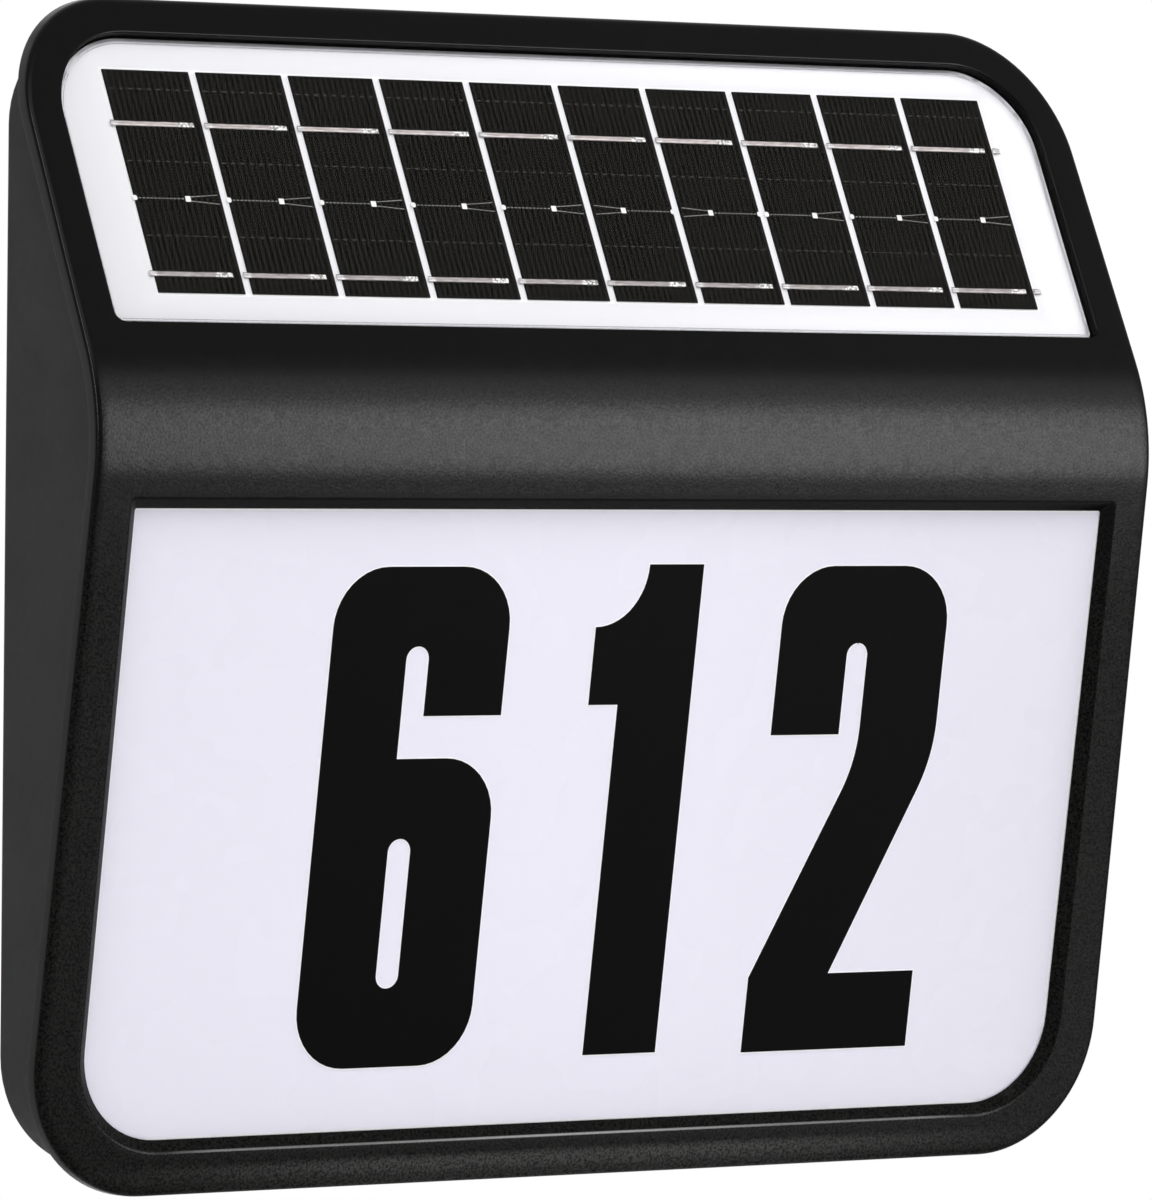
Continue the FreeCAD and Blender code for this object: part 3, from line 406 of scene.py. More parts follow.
# ---- shader building blocks ----
class Nodes:
    """A shader tree that is built node by node; each value is a socket or a constant."""

    def __init__(self, tree):
        self.tree = tree

    def put(self, socket, value):
        """Gives a socket a link, or its own colour, vector or number."""
        if isinstance(value, bpy.types.NodeSocket):
            self.tree.links.new(value, socket)
        elif socket.type == "RGBA":
            socket.default_value = (*value, 1.0)
        else:
            socket.default_value = value

    def fill(self, node, **inputs):
        """Gives a node its inputs by name; an underscore stands for a space."""
        for name, value in inputs.items():
            self.put(node.inputs[name.replace("_", " ")], value)
        return node

    def add(self, kind, **inputs):
        """A new shader node with its inputs."""
        return self.fill(self.tree.nodes.new("ShaderNode" + kind), **inputs)

    def calculate(self, operation, *values, clamp=False):
        node = self.add("Math")
        node.operation = operation
        node.use_clamp = clamp
        for socket, value in zip(node.inputs, values):
            self.put(socket, value)
        return node.outputs[0]

    def times(self, first, second):
        return self.calculate("MULTIPLY", first, second)

    def minus(self, first, second):
        return self.calculate("SUBTRACT", first, second)

    def magnitude(self, value):
        return self.calculate("ABSOLUTE", value)

    def off(self, value, middle):
        """How far a value lies from a middle, to either side."""
        return self.magnitude(self.minus(value, middle))

    def ramp(self, value, low, high, start=0.0, end=1.0):
        """Maps a value from low..high to start..end, and stops at the ends."""
        return self.add("MapRange", Value=value, From_Min=low, From_Max=high, To_Min=start,
                        To_Max=end).outputs["Result"]

    def ramp_mm(self, value, low, high, *ends):
        """The same between two lengths in millimetres."""
        return self.ramp(value, low * MM, high * MM, *ends)

    def mix(self, factor, first, second):
        """Blend of two colours."""
        node = self.add("Mix")
        node.data_type = "RGBA"
        for index, value in ((0, factor), (6, first), (7, second)):
            self.put(node.inputs[index], value)
        return node.outputs[2]

    def noise(self, vector, scale, detail):
        return self.add("TexNoise", Vector=vector, Scale=scale, Detail=detail).outputs["Fac"]


def group_of(name, inputs, outputs):
    """An empty shader group with named sockets: its nodes, its given values and its end."""
    group = bpy.data.node_groups.new(name, "ShaderNodeTree")
    for direction, sockets in (("INPUT", inputs), ("OUTPUT", outputs)):
        for label, kind in sockets.items():
            group.interface.new_socket(label, in_out=direction,
                                       socket_type="NodeSocket" + kind)
    return (Nodes(group), group.nodes.new("NodeGroupInput").outputs,
            group.nodes.new("NodeGroupOutput"))


def variation_group():
    """Surface variation: mottled colour, roughness and height from two noises."""
    nodes, given, end = group_of(
        "Surface variation",
        {"Vector": "Vector", "Dark": "Color", "Light": "Color", "Scale": "Float",
         "Smooth": "Float", "Rough": "Float"},
        {"Color": "Color", "Roughness": "Float", "Height": "Float"})
    broad = nodes.noise(given["Vector"], nodes.times(given["Scale"], 0.12), 4.0)
    fine = nodes.noise(given["Vector"], given["Scale"], 2.0)
    span = nodes.minus(given["Rough"], given["Smooth"])
    nodes.fill(end, Height=fine,
               Color=nodes.mix(nodes.ramp(broad, 0.3, 0.7), given["Dark"], given["Light"]),
               Roughness=nodes.calculate("MULTIPLY_ADD", nodes.ramp(fine, 0.3, 0.7), span,
                                         given["Smooth"]))
    return nodes.tree


def grain_group():
    """Moulded leather grain: small cells with rounded tops, broken up by a noise."""
    nodes, given, end = group_of("Moulded grain", {"Vector": "Vector", "Scale": "Float"},
                                 {"Height": "Float"})
    cells = nodes.add("TexVoronoi")
    cells.feature = "SMOOTH_F1"
    nodes.fill(cells, Vector=given["Vector"], Scale=given["Scale"], Smoothness=0.6)
    broken = nodes.noise(given["Vector"], nodes.times(given["Scale"], 1.3), 2.0)
    tops = nodes.minus(1.0, cells.outputs["Distance"])
    nodes.fill(end, Height=nodes.calculate("MULTIPLY_ADD", broken, 0.6, tops))
    return nodes.tree


def stripe_group():
    """Mask of soft lines: 1 in the middle of each line, falling to 0 at half its width."""
    nodes, given, end = group_of(
        "Printed lines", {"Value": "Float", "Pitch": "Float", "Width": "Float"},
        {"Mask": "Float"})
    part = nodes.calculate("FRACT", nodes.calculate("DIVIDE", given["Value"], given["Pitch"]))
    reach = nodes.times(nodes.off(part, 0.5), given["Pitch"])
    fall = nodes.calculate("DIVIDE", reach, nodes.times(given["Width"], 0.5))
    nodes.fill(end, Mask=nodes.calculate("SUBTRACT", 1.5, nodes.times(fall, 1.5), clamp=True))
    return nodes.tree


class Finish(Nodes):
    """A material with one Principled BSDF and Object coordinates."""
    groups = {}

    def __init__(self, name, **shader):
        self.material = bpy.data.materials.new(name)
        self.material.use_nodes = True
        super().__init__(self.material.node_tree)
        self.position = self.add("TexCoord").outputs["Object"]
        self.feed(**shader)

    def feed(self, **inputs):
        """Gives the Principled BSDF its inputs."""
        self.fill(self.tree.nodes["Principled BSDF"], **inputs)

    def place(self, maker, **values):
        """Puts a shared group in this material."""
        if maker not in Finish.groups:
            Finish.groups[maker] = maker()
        node = self.add("Group")
        node.node_tree = Finish.groups[maker]
        if "Vector" in node.inputs:
            values["Vector"] = self.position
        return self.fill(node, **values).outputs

    def vary(self, dark, light, scale, smooth, rough):
        """Lets the roughness wander, and gives the colour and height that go with it."""
        varied = self.place(variation_group, Dark=dark, Light=light, Scale=scale,
                            Smooth=smooth, Rough=rough)
        self.feed(Roughness=varied["Roughness"])
        return varied["Color"], varied["Height"]

    def bump(self, height, strength, distance):
        node = self.add("Bump", Height=height, Strength=strength, Distance=distance)
        self.feed(Normal=node.outputs["Normal"])

    def along(self, direction, offset=0.0):
        """Distance of a point along a direction, from an offset."""
        node = self.add("VectorMath")
        node.operation = "DOT_PRODUCT"
        self.put(node.inputs[0], self.position)
        self.put(node.inputs[1], direction)
        return self.minus(node.outputs["Value"], offset)

    def on_face(self, fold, lean):
        """Distance across and height along a face that leans back by an angle; heights count
        from the corner of the fold."""
        start = -fold.depth * math.sin(lean) + fold.height * math.cos(lean)
        return (self.along((1.0, 0.0, 0.0)),
                self.along((0.0, math.sin(lean), math.cos(lean)), start))

    def from_rectangle(self, across, up, half_width, low, high):
        """How far a point lies inside a rectangle on a face, below 0 outside it."""
        sideways = self.minus(half_width, self.magnitude(across))
        upright = self.calculate("MINIMUM", self.minus(up, low), self.minus(high, up))
        return self.calculate("MINIMUM", sideways, upright)


def shade(tint, factor):
    return tuple(channel * factor for channel in tint)


def mottled(name, dark, light, smooth, rough, scale, bump, **shader):
    """A finish whose colour and roughness vary a little over the surface."""
    finish = Finish(name, **shader)
    tint, height = finish.vary(dark, light, scale, smooth, rough)
    finish.feed(Base_Color=tint)
    if bump:
        finish.bump(height, 0.3, bump * MM)
    return finish.material


# dark colour, light colour, smoothest and roughest, noise scale, bump in mm, other sockets
PLAIN_FINISHES = {
    "gasket_rubber": ((0.012,) * 3, (0.02,) * 3, 0.7, 0.9, 900.0, 0.02, {}),
    "screw_steel": ((0.42,) * 3, (0.58, 0.58, 0.6), 0.22, 0.38, 1500.0, 0.004,
                    {"Metallic": 1.0}),
    "plug_rubber": ((0.012,) * 3, (0.02,) * 3, 0.6, 0.8, 1200.0, 0.01, {}),
    "foam_tape": ((0.03,) * 3, (0.06,) * 3, 0.8, 0.95, 2500.0, 0.05, {}),
    "guide_acrylic": ((0.9, 0.93, 0.94), (0.95, 0.97, 0.98), 0.03, 0.08, 200.0, 0.0,
                      {"Alpha": 0.55}),
    "reflector_film": ((0.86,) * 3, (0.92,) * 3, 0.4, 0.55, 300.0, 0.002, {}),
    "plate_aluminium": ((0.62,) * 3, (0.74, 0.74, 0.76), 0.28, 0.45, 700.0, 0.003,
                        {"Metallic": 1.0}),
    "board_laminate": ((0.012, 0.09, 0.035), (0.02, 0.14, 0.05), 0.3, 0.42, 500.0, 0.01, {}),
    "lamp_phosphor": ((0.8, 0.62, 0.14), (0.88, 0.74, 0.24), 0.25, 0.4, 900.0, 0.01, {}),
    "chip_black": ((0.012,) * 3, (0.02,) * 3, 0.45, 0.6, 1600.0, 0.005, {}),
    "plug_nylon": ((0.70, 0.67, 0.58), (0.80, 0.77, 0.68), 0.35, 0.5, 500.0, 0.004, {}),
    "battery_sleeve": ((0.02, 0.09, 0.28), (0.03, 0.13, 0.36), 0.15, 0.28, 250.0, 0.006,
                       {"Coat_Weight": 0.4}),
    "holder_plastic": ((0.015,) * 3, (0.022,) * 3, 0.4, 0.55, 900.0, 0.008, {}),
    "contact_nickel": ((0.6, 0.58, 0.54), (0.72, 0.7, 0.66), 0.12, 0.25, 800.0, 0.002,
                       {"Metallic": 1.0}),
    "wire_insulation": ((0.28, 0.012, 0.012), (0.38, 0.02, 0.02), 0.3, 0.42, 600.0, 0.004, {}),
    "switch_plastic": ((0.010,) * 3, (0.015,) * 3, 0.25, 0.38, 700.0, 0.004,
                       {"Specular_IOR_Level": 0.12}),
    "button_plastic": ((0.17,) * 3, (0.20,) * 3, 0.3, 0.45, 900.0, 0.004, {}),
}


def cover_finish(sign):
    """Black moulding: leather grain on the nose and below it, smooth on the solar face, with
    a painted highlight line where the window's bottom edge is rounded and a painted speckled
    highlight band below it."""
    finish = Finish("cover_plastic")
    colours, fold = sign.colours, sign.fold
    edge_height = sign.window_low - sign.window.bevel_width
    black, _ = finish.vary(shade(colours.cover, 0.85), shade(colours.cover, 1.15), 500.0, 0.22,
                           0.27)
    across, up = finish.on_face(fold, -fold.down)
    off_middle = finish.magnitude(across)
    height = finish.along((0.0, 0.0, 1.0))
    low, high = fold.nose(0.0)
    down_the_face = (height, low - 2.0 * MM, low - 18.0 * MM)
    pores = finish.noise(finish.position, 2600.0, 2.0)

    # the front turns mottled below the nose
    mottle = finish.mix(finish.ramp(pores, 0.36, 0.64), shade(colours.cover, 0.3),
                        shade(colours.cover, 6.0))
    front = finish.mix(finish.ramp(*down_the_face), black, mottle)

    # the outer sides, but not the walls of the openings, are as grey as the housing
    facing = finish.add("NewGeometry").outputs["Normal"]
    facing = finish.add("SeparateXYZ", Vector=facing).outputs["Y"]
    half_height = (fold.top + fold.bottom) / 2
    inwards = finish.from_rectangle(across, height, sign.cover.width / 2, -half_height,
                                    half_height)
    side = finish.times(finish.ramp(facing, -0.30, -0.05), finish.ramp_mm(inwards, 4.6, 3.6))
    sided = finish.mix(side, front, shade(colours.housing, 0.8))

    # painted highlight line on the rounded edge, weaker towards the window's corners
    line = finish.times(finish.ramp_mm(finish.off(up, edge_height), 0.22, 0.08),
                        finish.ramp_mm(off_middle, 10.0, 40.0, 1.0, 0.5))
    line = finish.times(line, finish.ramp_mm(off_middle, 68.0, 77.0, 1.0, 0.0))

    # painted speckled highlight band between that line and the bottom edge
    below = finish.minus(edge_height, up)
    painted_sheen = finish.times(finish.ramp_mm(below, 1.9, 3.0),
                         finish.ramp_mm(below, 3.6, 5.2, 1.0, 0.45))
    painted_sheen = finish.times(finish.times(painted_sheen, finish.ramp(pores, 0.38, 0.62, 0.25, 1.0)),
                         finish.ramp_mm(off_middle, 35.0, 85.0, 1.0, 0.1))
    # the painted highlight band is mixed into the base colour here
    lit = finish.mix(painted_sheen, sided, (0.055, 0.054, 0.053))

    # grain
    grained = finish.ramp(height, high - 2.0 * MM, high - 7.0 * MM)
    uneven = finish.calculate("MULTIPLY_ADD", grained,
                              finish.ramp(pores, 0.36, 0.64, -0.2, 0.2), 1.0)
    grain = finish.place(grain_group, Scale=2200.0)["Height"]
    finish.bump(finish.times(grain, grained), 0.15, 0.05 * MM)
    # the base colour takes the painted highlight line over the painted highlight band
    finish.feed(Base_Color=finish.mix(line, lit, (0.26, 0.26, 0.26)),
                Specular_IOR_Level=finish.times(
                    uneven, finish.ramp(*down_the_face, 0.058, 0.036)))
    return finish.material


def housing_finish(sign):
    """Satin moulding of the rear housing."""
    grey = sign.colours.housing
    return mottled("housing_plastic", shade(grey, 0.9), shade(grey, 1.08), 0.42, 0.55, 700.0,
                   0.012, Specular_IOR_Level=0.06)


def sign_finish(sign):
    """Opal acrylic with painted shade, darker towards its bottom and sides, and a painted
    highlight line round its edge."""
    finish = Finish("sign_acrylic", Specular_IOR_Level=0.12)
    tint = sign.colours.sign
    opal, _ = finish.vary(shade(tint, 0.985), tint, 60.0, 0.24, 0.30)
    across, up = finish.on_face(sign.fold, -sign.fold.down)
    inwards = finish.from_rectangle(across, up, sign.cover.width / 2 - sign.window.side_frame,
                                    sign.window_low, -sign.window.drop)
    # painted shade: darker towards the bottom, near the window's edges and to either side, most
    # to the right
    above = finish.minus(up, sign.window_low)
    opal = finish.mix(finish.ramp_mm(above, 0.0, 26.0, 0.4, 0.0), opal, shade(tint, 0.90))
    opal = finish.mix(finish.ramp_mm(inwards, 0.0, 8.0, 0.35, 0.0), opal, shade(tint, 0.93))
    right = finish.ramp_mm(across, 10.0, 90.0, 0.0, 0.75)
    left = finish.ramp_mm(across, -10.0, -90.0, 0.0, 0.35)
    opal = finish.mix(finish.calculate("ADD", left, right), opal, shade(tint, 0.90))
    # painted highlight line round the edge
    line = finish.ramp_mm(inwards, 0.42, 0.22)
    finish.feed(Base_Color=finish.mix(line, opal, (0.97, 0.97, 0.99)))
    return finish.material


def backing_finish(sign):
    """White laminate with painted shade, darker to the left and close to and between the cells,
    and a painted bright line right beside them."""
    finish = Finish("white_laminate", Specular_IOR_Level=0.12)
    tint, layout = sign.colours.backing, sign.layout
    white, _ = finish.vary(shade(tint, 0.975), tint, 120.0, 0.3, 0.4)
    across, up = finish.on_face(sign.fold, sign.fold.up)
    inwards = finish.from_rectangle(across, up, -layout.left, layout.bottom,
                                    layout.bottom + layout.rise)
    # painted shade, darker to the left
    white = finish.mix(finish.ramp_mm(across, 40.0, -95.0, 0.0, 0.9), white, shade(tint, 0.79))
    # painted shade close to the cells and in the gaps between them
    painted_shade_near_cells = finish.times(finish.ramp_mm(inwards, -3.6, -0.4), 0.8)
    white = finish.mix(painted_shade_near_cells, white, shade(tint, 0.87))
    # painted bright line right beside the cells
    line = finish.times(finish.ramp_mm(inwards, -0.5, -0.3),
                        finish.ramp_mm(inwards, 0.0, 0.3, 0.8, 0.2))
    finish.feed(Base_Color=finish.mix(line, white, (0.99, 0.99, 1.0)))
    return finish.material


def clear_finish(sign):
    """Thin clear sheet: mostly see-through, with a smooth gloss."""
    return mottled("clear_sheet", (0.02, 0.02, 0.021), (0.03, 0.03, 0.031), 0.05, 0.09, 150.0,
                   0.0, Alpha=0.03, Specular_IOR_Level=0.5)


# lines printed on the cells, in millimetres
FINGER_PITCH, FINGER_WIDTH = 1.05, 0.62
DASH_PITCH, DASH_WIDTH, DASH_HALF_HEIGHT = 1.7, 1.05, 0.085
DASH_RISES = (9.5, 22.0, 34.2)


def cell_finish(sign):
    """Coated silicon with printed fingers up each cell and broken lines across it."""
    finish = Finish("cell_silicon", Specular_IOR_Level=0.02, Roughness=0.28)
    tint, layout = sign.colours.cell, sign.layout
    across, up = finish.on_face(sign.fold, sign.fold.up)
    in_cell = finish.calculate("WRAP", finish.minus(across, layout.left), layout.pitch, 0.0)
    up = finish.minus(up, layout.bottom)
    fingers, dashes = (
        finish.place(stripe_group, Value=in_cell, Pitch=pitch * MM, Width=width * MM)["Mask"]
        for pitch, width in ((FINGER_PITCH, FINGER_WIDTH), (DASH_PITCH, DASH_WIDTH)))
    broken = 0.0
    for rise in DASH_RISES:
        line = finish.calculate("LESS_THAN", finish.off(up, rise * MM), DASH_HALF_HEIGHT * MM)
        broken = finish.calculate("MAXIMUM", broken, line)
    silicon = finish.mix(finish.ramp(finish.noise(finish.position, 900.0, 2.0), 0.3, 0.7),
                         shade(tint, 0.85), shade(tint, 1.15))
    silicon = finish.mix(fingers, silicon, (0.0130, 0.0120, 0.0100))
    finish.feed(Base_Color=finish.mix(finish.times(broken, dashes), silicon,
                                      (0.075, 0.072, 0.068)))
    return finish.material


def ribbon_finish(sign):
    """Dull tin with streaks along it, painted shade down its middle and along both edges, grey
    on the stub between two cells, and bright and patchy at the joint close to its end."""
    finish = Finish("ribbon_tin", Metallic=0.25, Specular_IOR_Level=0.3)
    layout = sign.layout
    across, up = finish.on_face(sign.fold, sign.fold.up)
    start = layout.left - 0.9 * MM
    run = finish.calculate("WRAP", finish.minus(across, start), layout.pitch, 0.0)
    off_middle = finish.calculate("MINIMUM", *(finish.off(up, layout.bottom + rise)
                                               for rise in layout.ribbon_rises))
    stretched = finish.add("Mapping", Vector=finish.position, Scale=(0.16, 1.0, 1.0))
    streaks = finish.ramp(finish.noise(stretched.outputs["Vector"], 4200.0, 3.0), 0.35, 0.65)
    patches = finish.ramp(finish.noise(finish.position, 2600.0, 2.0), 0.44, 0.56)
    upper_tin = finish.mix(streaks, (0.34, 0.30, 0.295), (0.62, 0.555, 0.545))
    lower_tin = finish.mix(streaks, (0.22, 0.20, 0.195), (0.42, 0.385, 0.38))
    solder = finish.mix(patches, (0.22, 0.21, 0.20), (0.96, 0.95, 0.95))
    stub = finish.mix(streaks, (0.40, 0.39, 0.40), (0.74, 0.73, 0.76))

    on_lower = finish.calculate("LESS_THAN", up, layout.bottom + layout.rise / 2)
    tin = finish.mix(on_lower, upper_tin, lower_tin)
    at_joint = finish.ramp(run, layout.cell - 3.9 * MM, layout.cell - 3.3 * MM)
    tin = finish.mix(at_joint, tin, solder)
    tin = finish.mix(finish.ramp_mm(run, 1.45, 1.25), tin, stub)
    # painted shade down the middle
    painted_middle_shade = finish.ramp_mm(off_middle, 0.22, 0.08, 0.0, 0.45)
    tin = finish.mix(painted_middle_shade, tin, (0.25, 0.225, 0.22))
    # painted shade along both edges
    painted_edge = finish.times(finish.ramp_mm(off_middle, 0.27, 0.38), 0.9)
    finish.feed(Base_Color=finish.mix(painted_edge, tin, (0.022, 0.02, 0.02)),
                Roughness=finish.ramp(streaks, 0.0, 1.0, 0.30, 0.48))
    finish.bump(streaks, 0.3, 0.03 * MM)
    return finish.material


class CellLayout:
    """Where the cells lie on the solar face."""

    def __init__(self, cover, panel):
        self.width = cover.width - 2 * panel.side_frame
        self.height = cover.upper_length - panel.rise - panel.top_frame
        self.left = panel.side_margin - self.width / 2
        self.cell = ((self.width - 2 * panel.side_margin
                      - (panel.cell_count - 1) * panel.cell_gap) / panel.cell_count)
        self.pitch = self.cell + panel.cell_gap
        self.bottom = panel.rise + panel.bottom_margin
        self.rise = self.height - panel.bottom_margin - panel.top_margin
        self.ribbon_rises = (panel.lower_ribbon, self.rise - panel.upper_ribbon)


class Sign:
    """The scene's sizes, the fold and where the cells lie."""

    def __init__(self, scene):
        self.cover, self.window = scene.sign_cover, scene.sign_window
        self.panel, self.number = scene.sign_panel, scene.sign_number
        self.colours = scene.sign_colours
        self.fold = Fold(self.cover)
        self.layout = CellLayout(self.cover, self.panel)
        self.window_low = self.window.bottom_frame - self.cover.lower_length


# ---- cover skin ----
WINDOW_CORNER = 0.35 * MM    # rounds of the corners that look square, at the top
POCKET_CORNER = 0.5 * MM
NOSE_END = 3.0 * MM          # how far the finely meshed nose stays from the cover's sides
STRIP = 1.2 * MM             # flat strip drawn round each opening


def cover_loop(sign, inset):
    """Front outline of the cover, drawn in by an inset, as flat (x, z) points."""
    cover, fold = sign.cover, sign.fold
    slope = cover.side_flare / (fold.top + fold.bottom)
    top = fold.top - inset
    bottom = inset - fold.bottom
    side_inset = inset * math.hypot(1, slope)
    upper = cover.width / 2 + slope * (fold.top - top) - side_inset
    lower = cover.width / 2 + slope * (fold.top - bottom) - side_inset
    corners = [(-lower, fold.height + bottom), (lower, fold.height + bottom),
               (upper, fold.height + top), (-upper, fold.height + top)]
    radii = [cover.radius_bottom - inset] * 2 + [cover.radius_top - inset] * 2
    return rounded_loop(corners, radii, 24, 90)


def window_loop(sign, grow):
    """Window outline on the sign face, square at the top and round at the bottom."""
    window = sign.window
    half = sign.cover.width / 2 - window.side_frame + grow
    low = sign.window_low - grow
    low_radius = window.radius + grow
    square = WINDOW_CORNER + max(grow, 0.0) * 0.3
    return rounded_loop(box_corners(-half, half, low, grow - window.drop),
                        [low_radius, low_radius, square, square], 16, 30)


def pocket_loop(sign):
    """Outline of the pocket behind the window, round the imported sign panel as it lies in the
    sign face's own plane."""
    window, fold = sign.window, sign.fold
    low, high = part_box("sign_panel")
    upright, lean = math.cos(fold.down), math.sin(fold.down)
    front = window.lip + TAPE
    rear = front + SIGN_THICKNESS
    top = (high.z - fold.height + front * lean) / upright + SIGN_CLEARANCE
    bottom = (low.z - fold.height + rear * lean) / upright - SIGN_CLEARANCE
    half = high.x + SIGN_CLEARANCE
    radius = window.radius + half - (sign.cover.width / 2 - window.side_frame)
    return rounded_loop(box_corners(-half, half, bottom, top),
                        [radius, radius, POCKET_CORNER, POCKET_CORNER], 16, 30)


def panel_loop(sign, grow):
    """Outline of the solar panel on the upper face."""
    panel, half = sign.panel, sign.layout.width / 2 + grow
    radii = [panel.radius_bottom + grow] * 2 + [panel.radius_top + grow] * 2
    return rounded_loop(box_corners(-half, half, panel.rise - grow,
                                    panel.rise + sign.layout.height + grow), radii, 16, 30)


def nose_points(fold, half_width, depth):
    """Grid of (x, z) points over the nose, finer in height than in width."""
    low, high = fold.nose(depth)
    x, z = np.meshgrid(np.linspace(-half_width, half_width, 60), np.linspace(low, high, 30))
    return np.stack([x.ravel(), z.ravel()], axis=-1)


def cover_skin(sign):
    """Outer skin, edges, bevelled window, panel recess and inner side of the cover."""
    cover, window, fold = sign.cover, sign.window, sign.fold
    depth = cover.rim_depth

    # rim: the profile of (inset, depth) runs from the inner side round the edge to the face;
    # the second list says how far each of its corners is cut back
    profile = eased([(cover.rim_inset, depth), (cover.rim_inset, cover.wall),
                     (0.0, cover.wall), (0.0, 0.0), (cover.edge_round * 2.2, 0.0)],
                    [0.15 * MM, 0.12 * MM, cover.edge_round])
    rim_loops = [cover_loop(sign, inset) for inset, _ in profile]
    rim = loft([fold.skin(*loop.T, inside) for loop, (_, inside) in zip(rim_loops, profile)])

    # window: the profile of (grow, height) runs from the face down the bevel to the pocket
    bevel = eased([(window.bevel_width + STRIP, 0.0), (window.bevel_width, 0.0),
                   (0.0, -window.bevel_depth), (0.0, -window.lip)], [0.35 * MM, 0.08 * MM])
    window_loops = [window_loop(sign, grow) for grow, _ in bevel]
    pocket = pocket_loop(sign)
    opening = loft([fold.on_lower(*loop.T, height) for loop, height in
                    zip([*window_loops, pocket, pocket],
                        [*bevel[:, 1], -window.lip, -depth])])

    # panel recess: the profile of (grow, height) runs from the face down to the floor
    gap = sign.panel.clearance
    drop = eased([(gap + STRIP, 0.0), (gap, 0.0), (gap, -sign.panel.floor)], [0.3 * MM])
    panel_loops = [panel_loop(sign, grow) for grow, _ in drop]
    recess = loft([fold.on_upper(*loop.T, height)
                   for loop, height in zip(panel_loops, drop[:, 1])])
    flat, faces = filled([panel_loops[-1]])
    floor = (fold.on_upper(*flat.T, -sign.panel.floor), faces)

    # faces between the loops, in front and behind, laid out as seen from the front
    def face(depth, margin, *loops):
        flat, faces = filled(loops, nose_points(fold, cover.width / 2 - margin, depth))
        return fold.skin(*flat.T, depth), faces

    front = face(0.0, NOSE_END, rim_loops[-1],
                 fold.on_lower(*window_loops[0].T, 0.0)[:, ::2],
                 fold.on_upper(*panel_loops[0].T, 0.0)[:, ::2])
    rear = face(depth, 2 * NOSE_END, rim_loops[0], fold.on_lower(*pocket.T, -depth)[:, ::2])
    return merged([rim, opening, recess, floor, front, rear])


# ---- number ----
def digit_outlines(digit, height):
    """Closed outlines of a condensed bold digit, from its lower left corner. The first is
    the outer one. Strokes, slots and rounds are shares of a digit 78 high."""
    unit = height / 78.0
    stroke, slot, corner = 14.0, 4.2, 9.4
    inner = slot / 2 - 0.04
    if digit == "1":
        flag = np.linspace(0, math.pi / 2, 14)
        curve = np.stack([9.2 * np.cos(flag), 78.0 - 9.8 * np.sin(flag)], axis=-1)
        stem_left, stem_right = 5.6, 19.6
        foot = [(stem_left, 0.6), (stem_right, 0.6), (stem_right, 78.0)]
        loop = np.concatenate([foot, curve, [(0.0, 56.0), (stem_left, 56.0)]])
        outlines = [loop]
    elif digit == "2":
        outer = [(0.5, 0.0), (33.3, 0.0), (33.3, 12.3), (16.2, 12.3), (32.8, 47.0),
                 (32.8, 77.7), (0.0, 77.7), (0.0, 50.8), (13.4, 50.8), (13.4, 65.4),
                 (17.5, 65.4), (17.5, 46.5), (0.5, 12.0)]
        radii = [0, 0, 0, 0, 26.0, corner, corner, 0, 0, inner - 0.02, inner - 0.02, 24.0, 0]
        outlines = [rounded_loop(outer, radii, 10, 3)]
    else:
        width = 32.7
        left, right = stroke, stroke + slot
        outer = [(0.0, 0.0), (width, 0.0), (width, 48.0), (left, 48.0), (left, 65.4),
                 (right, 65.4), (right, 54.6), (width, 54.6), (width, 77.7), (0.0, 77.7)]
        radii = [corner, corner, corner, 0, inner, inner, 0, 0, corner, corner]
        hole = rounded_loop(box_corners(left, right, 12.3, 35.6), [inner] * 4, 8, 3)
        outlines = [rounded_loop(outer, radii, 10, 3), hole]
    return [without_doubles(loop) * unit * MM for loop in outlines]


def number_loops(number):
    """Outlines of all digits on the sign face."""
    loops = []
    left = number.left
    for digit in number.digits:
        outlines = digit_outlines(digit, number.height / MM)
        base = np.array([left, -number.top - number.height])
        loops.append([outline + base for outline in outlines])
        left += outlines[0][:, 0].max() + number.spacing
    return loops


# ---- operators ----
class Maker:
    """A step that makes its pieces from the scene's sizes."""

    def execute(self, context):
        self.make(Sign(context.scene))
        return {"FINISHED"}


class SIGN_OT_finishes(Maker, bpy.types.Operator):
    """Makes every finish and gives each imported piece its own"""
    bl_idname = "house_sign.finishes"
    bl_label = "Finishes"

    def make(self, sign):
        for name, values in PLAIN_FINISHES.items():
            FINISHES[name] = mottled(name, *values[:6], **values[6])
        for name, finish in (
                ("housing_plastic", housing_finish), ("cover_plastic", cover_finish),
                ("sign_acrylic", sign_finish), ("white_laminate", backing_finish),
                ("clear_sheet", clear_finish), ("cell_silicon", cell_finish),
                ("ribbon_tin", ribbon_finish)):
            FINISHES[name] = finish(sign)
        for row in frame["record"]["subparts"]:
            node = frame["nodes"][row["node"]]
            node.data.materials.clear()
            node.data.materials.append(FINISHES[row["material_slot"]])


class SIGN_OT_cover(Maker, bpy.types.Operator):
    """Makes the finely rounded skin of the front cover"""
    bl_idname = "house_sign.cover"
    bl_label = "Front cover"

    def make(self, sign):
        piece = new_piece("cover_skin", cover_skin(sign), "cover_plastic", sharp=40.0)
        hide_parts("front_cover")


class SIGN_OT_housing(bpy.types.Operator):
    """Gives the housing and the round back parts smooth shading"""
    bl_idname = "house_sign.housing"
    bl_label = "Rear housing"

    def execute(self, context):
        for copied in (("rear_housing", "housing_shell", "housing_plastic", "sign"),
                       ("screw_plugs", "plug_discs", "plug_rubber", "sign"),
                       ("vent_plug", "vent_cap", "plug_rubber", "sign"),
                       ("switch_body", "switch_case", "switch_plastic", "sign"),
                       ("switch_button", "button_cap", "button_plastic", "power_button")):
            smooth_copy(*copied)
        return {"FINISHED"}


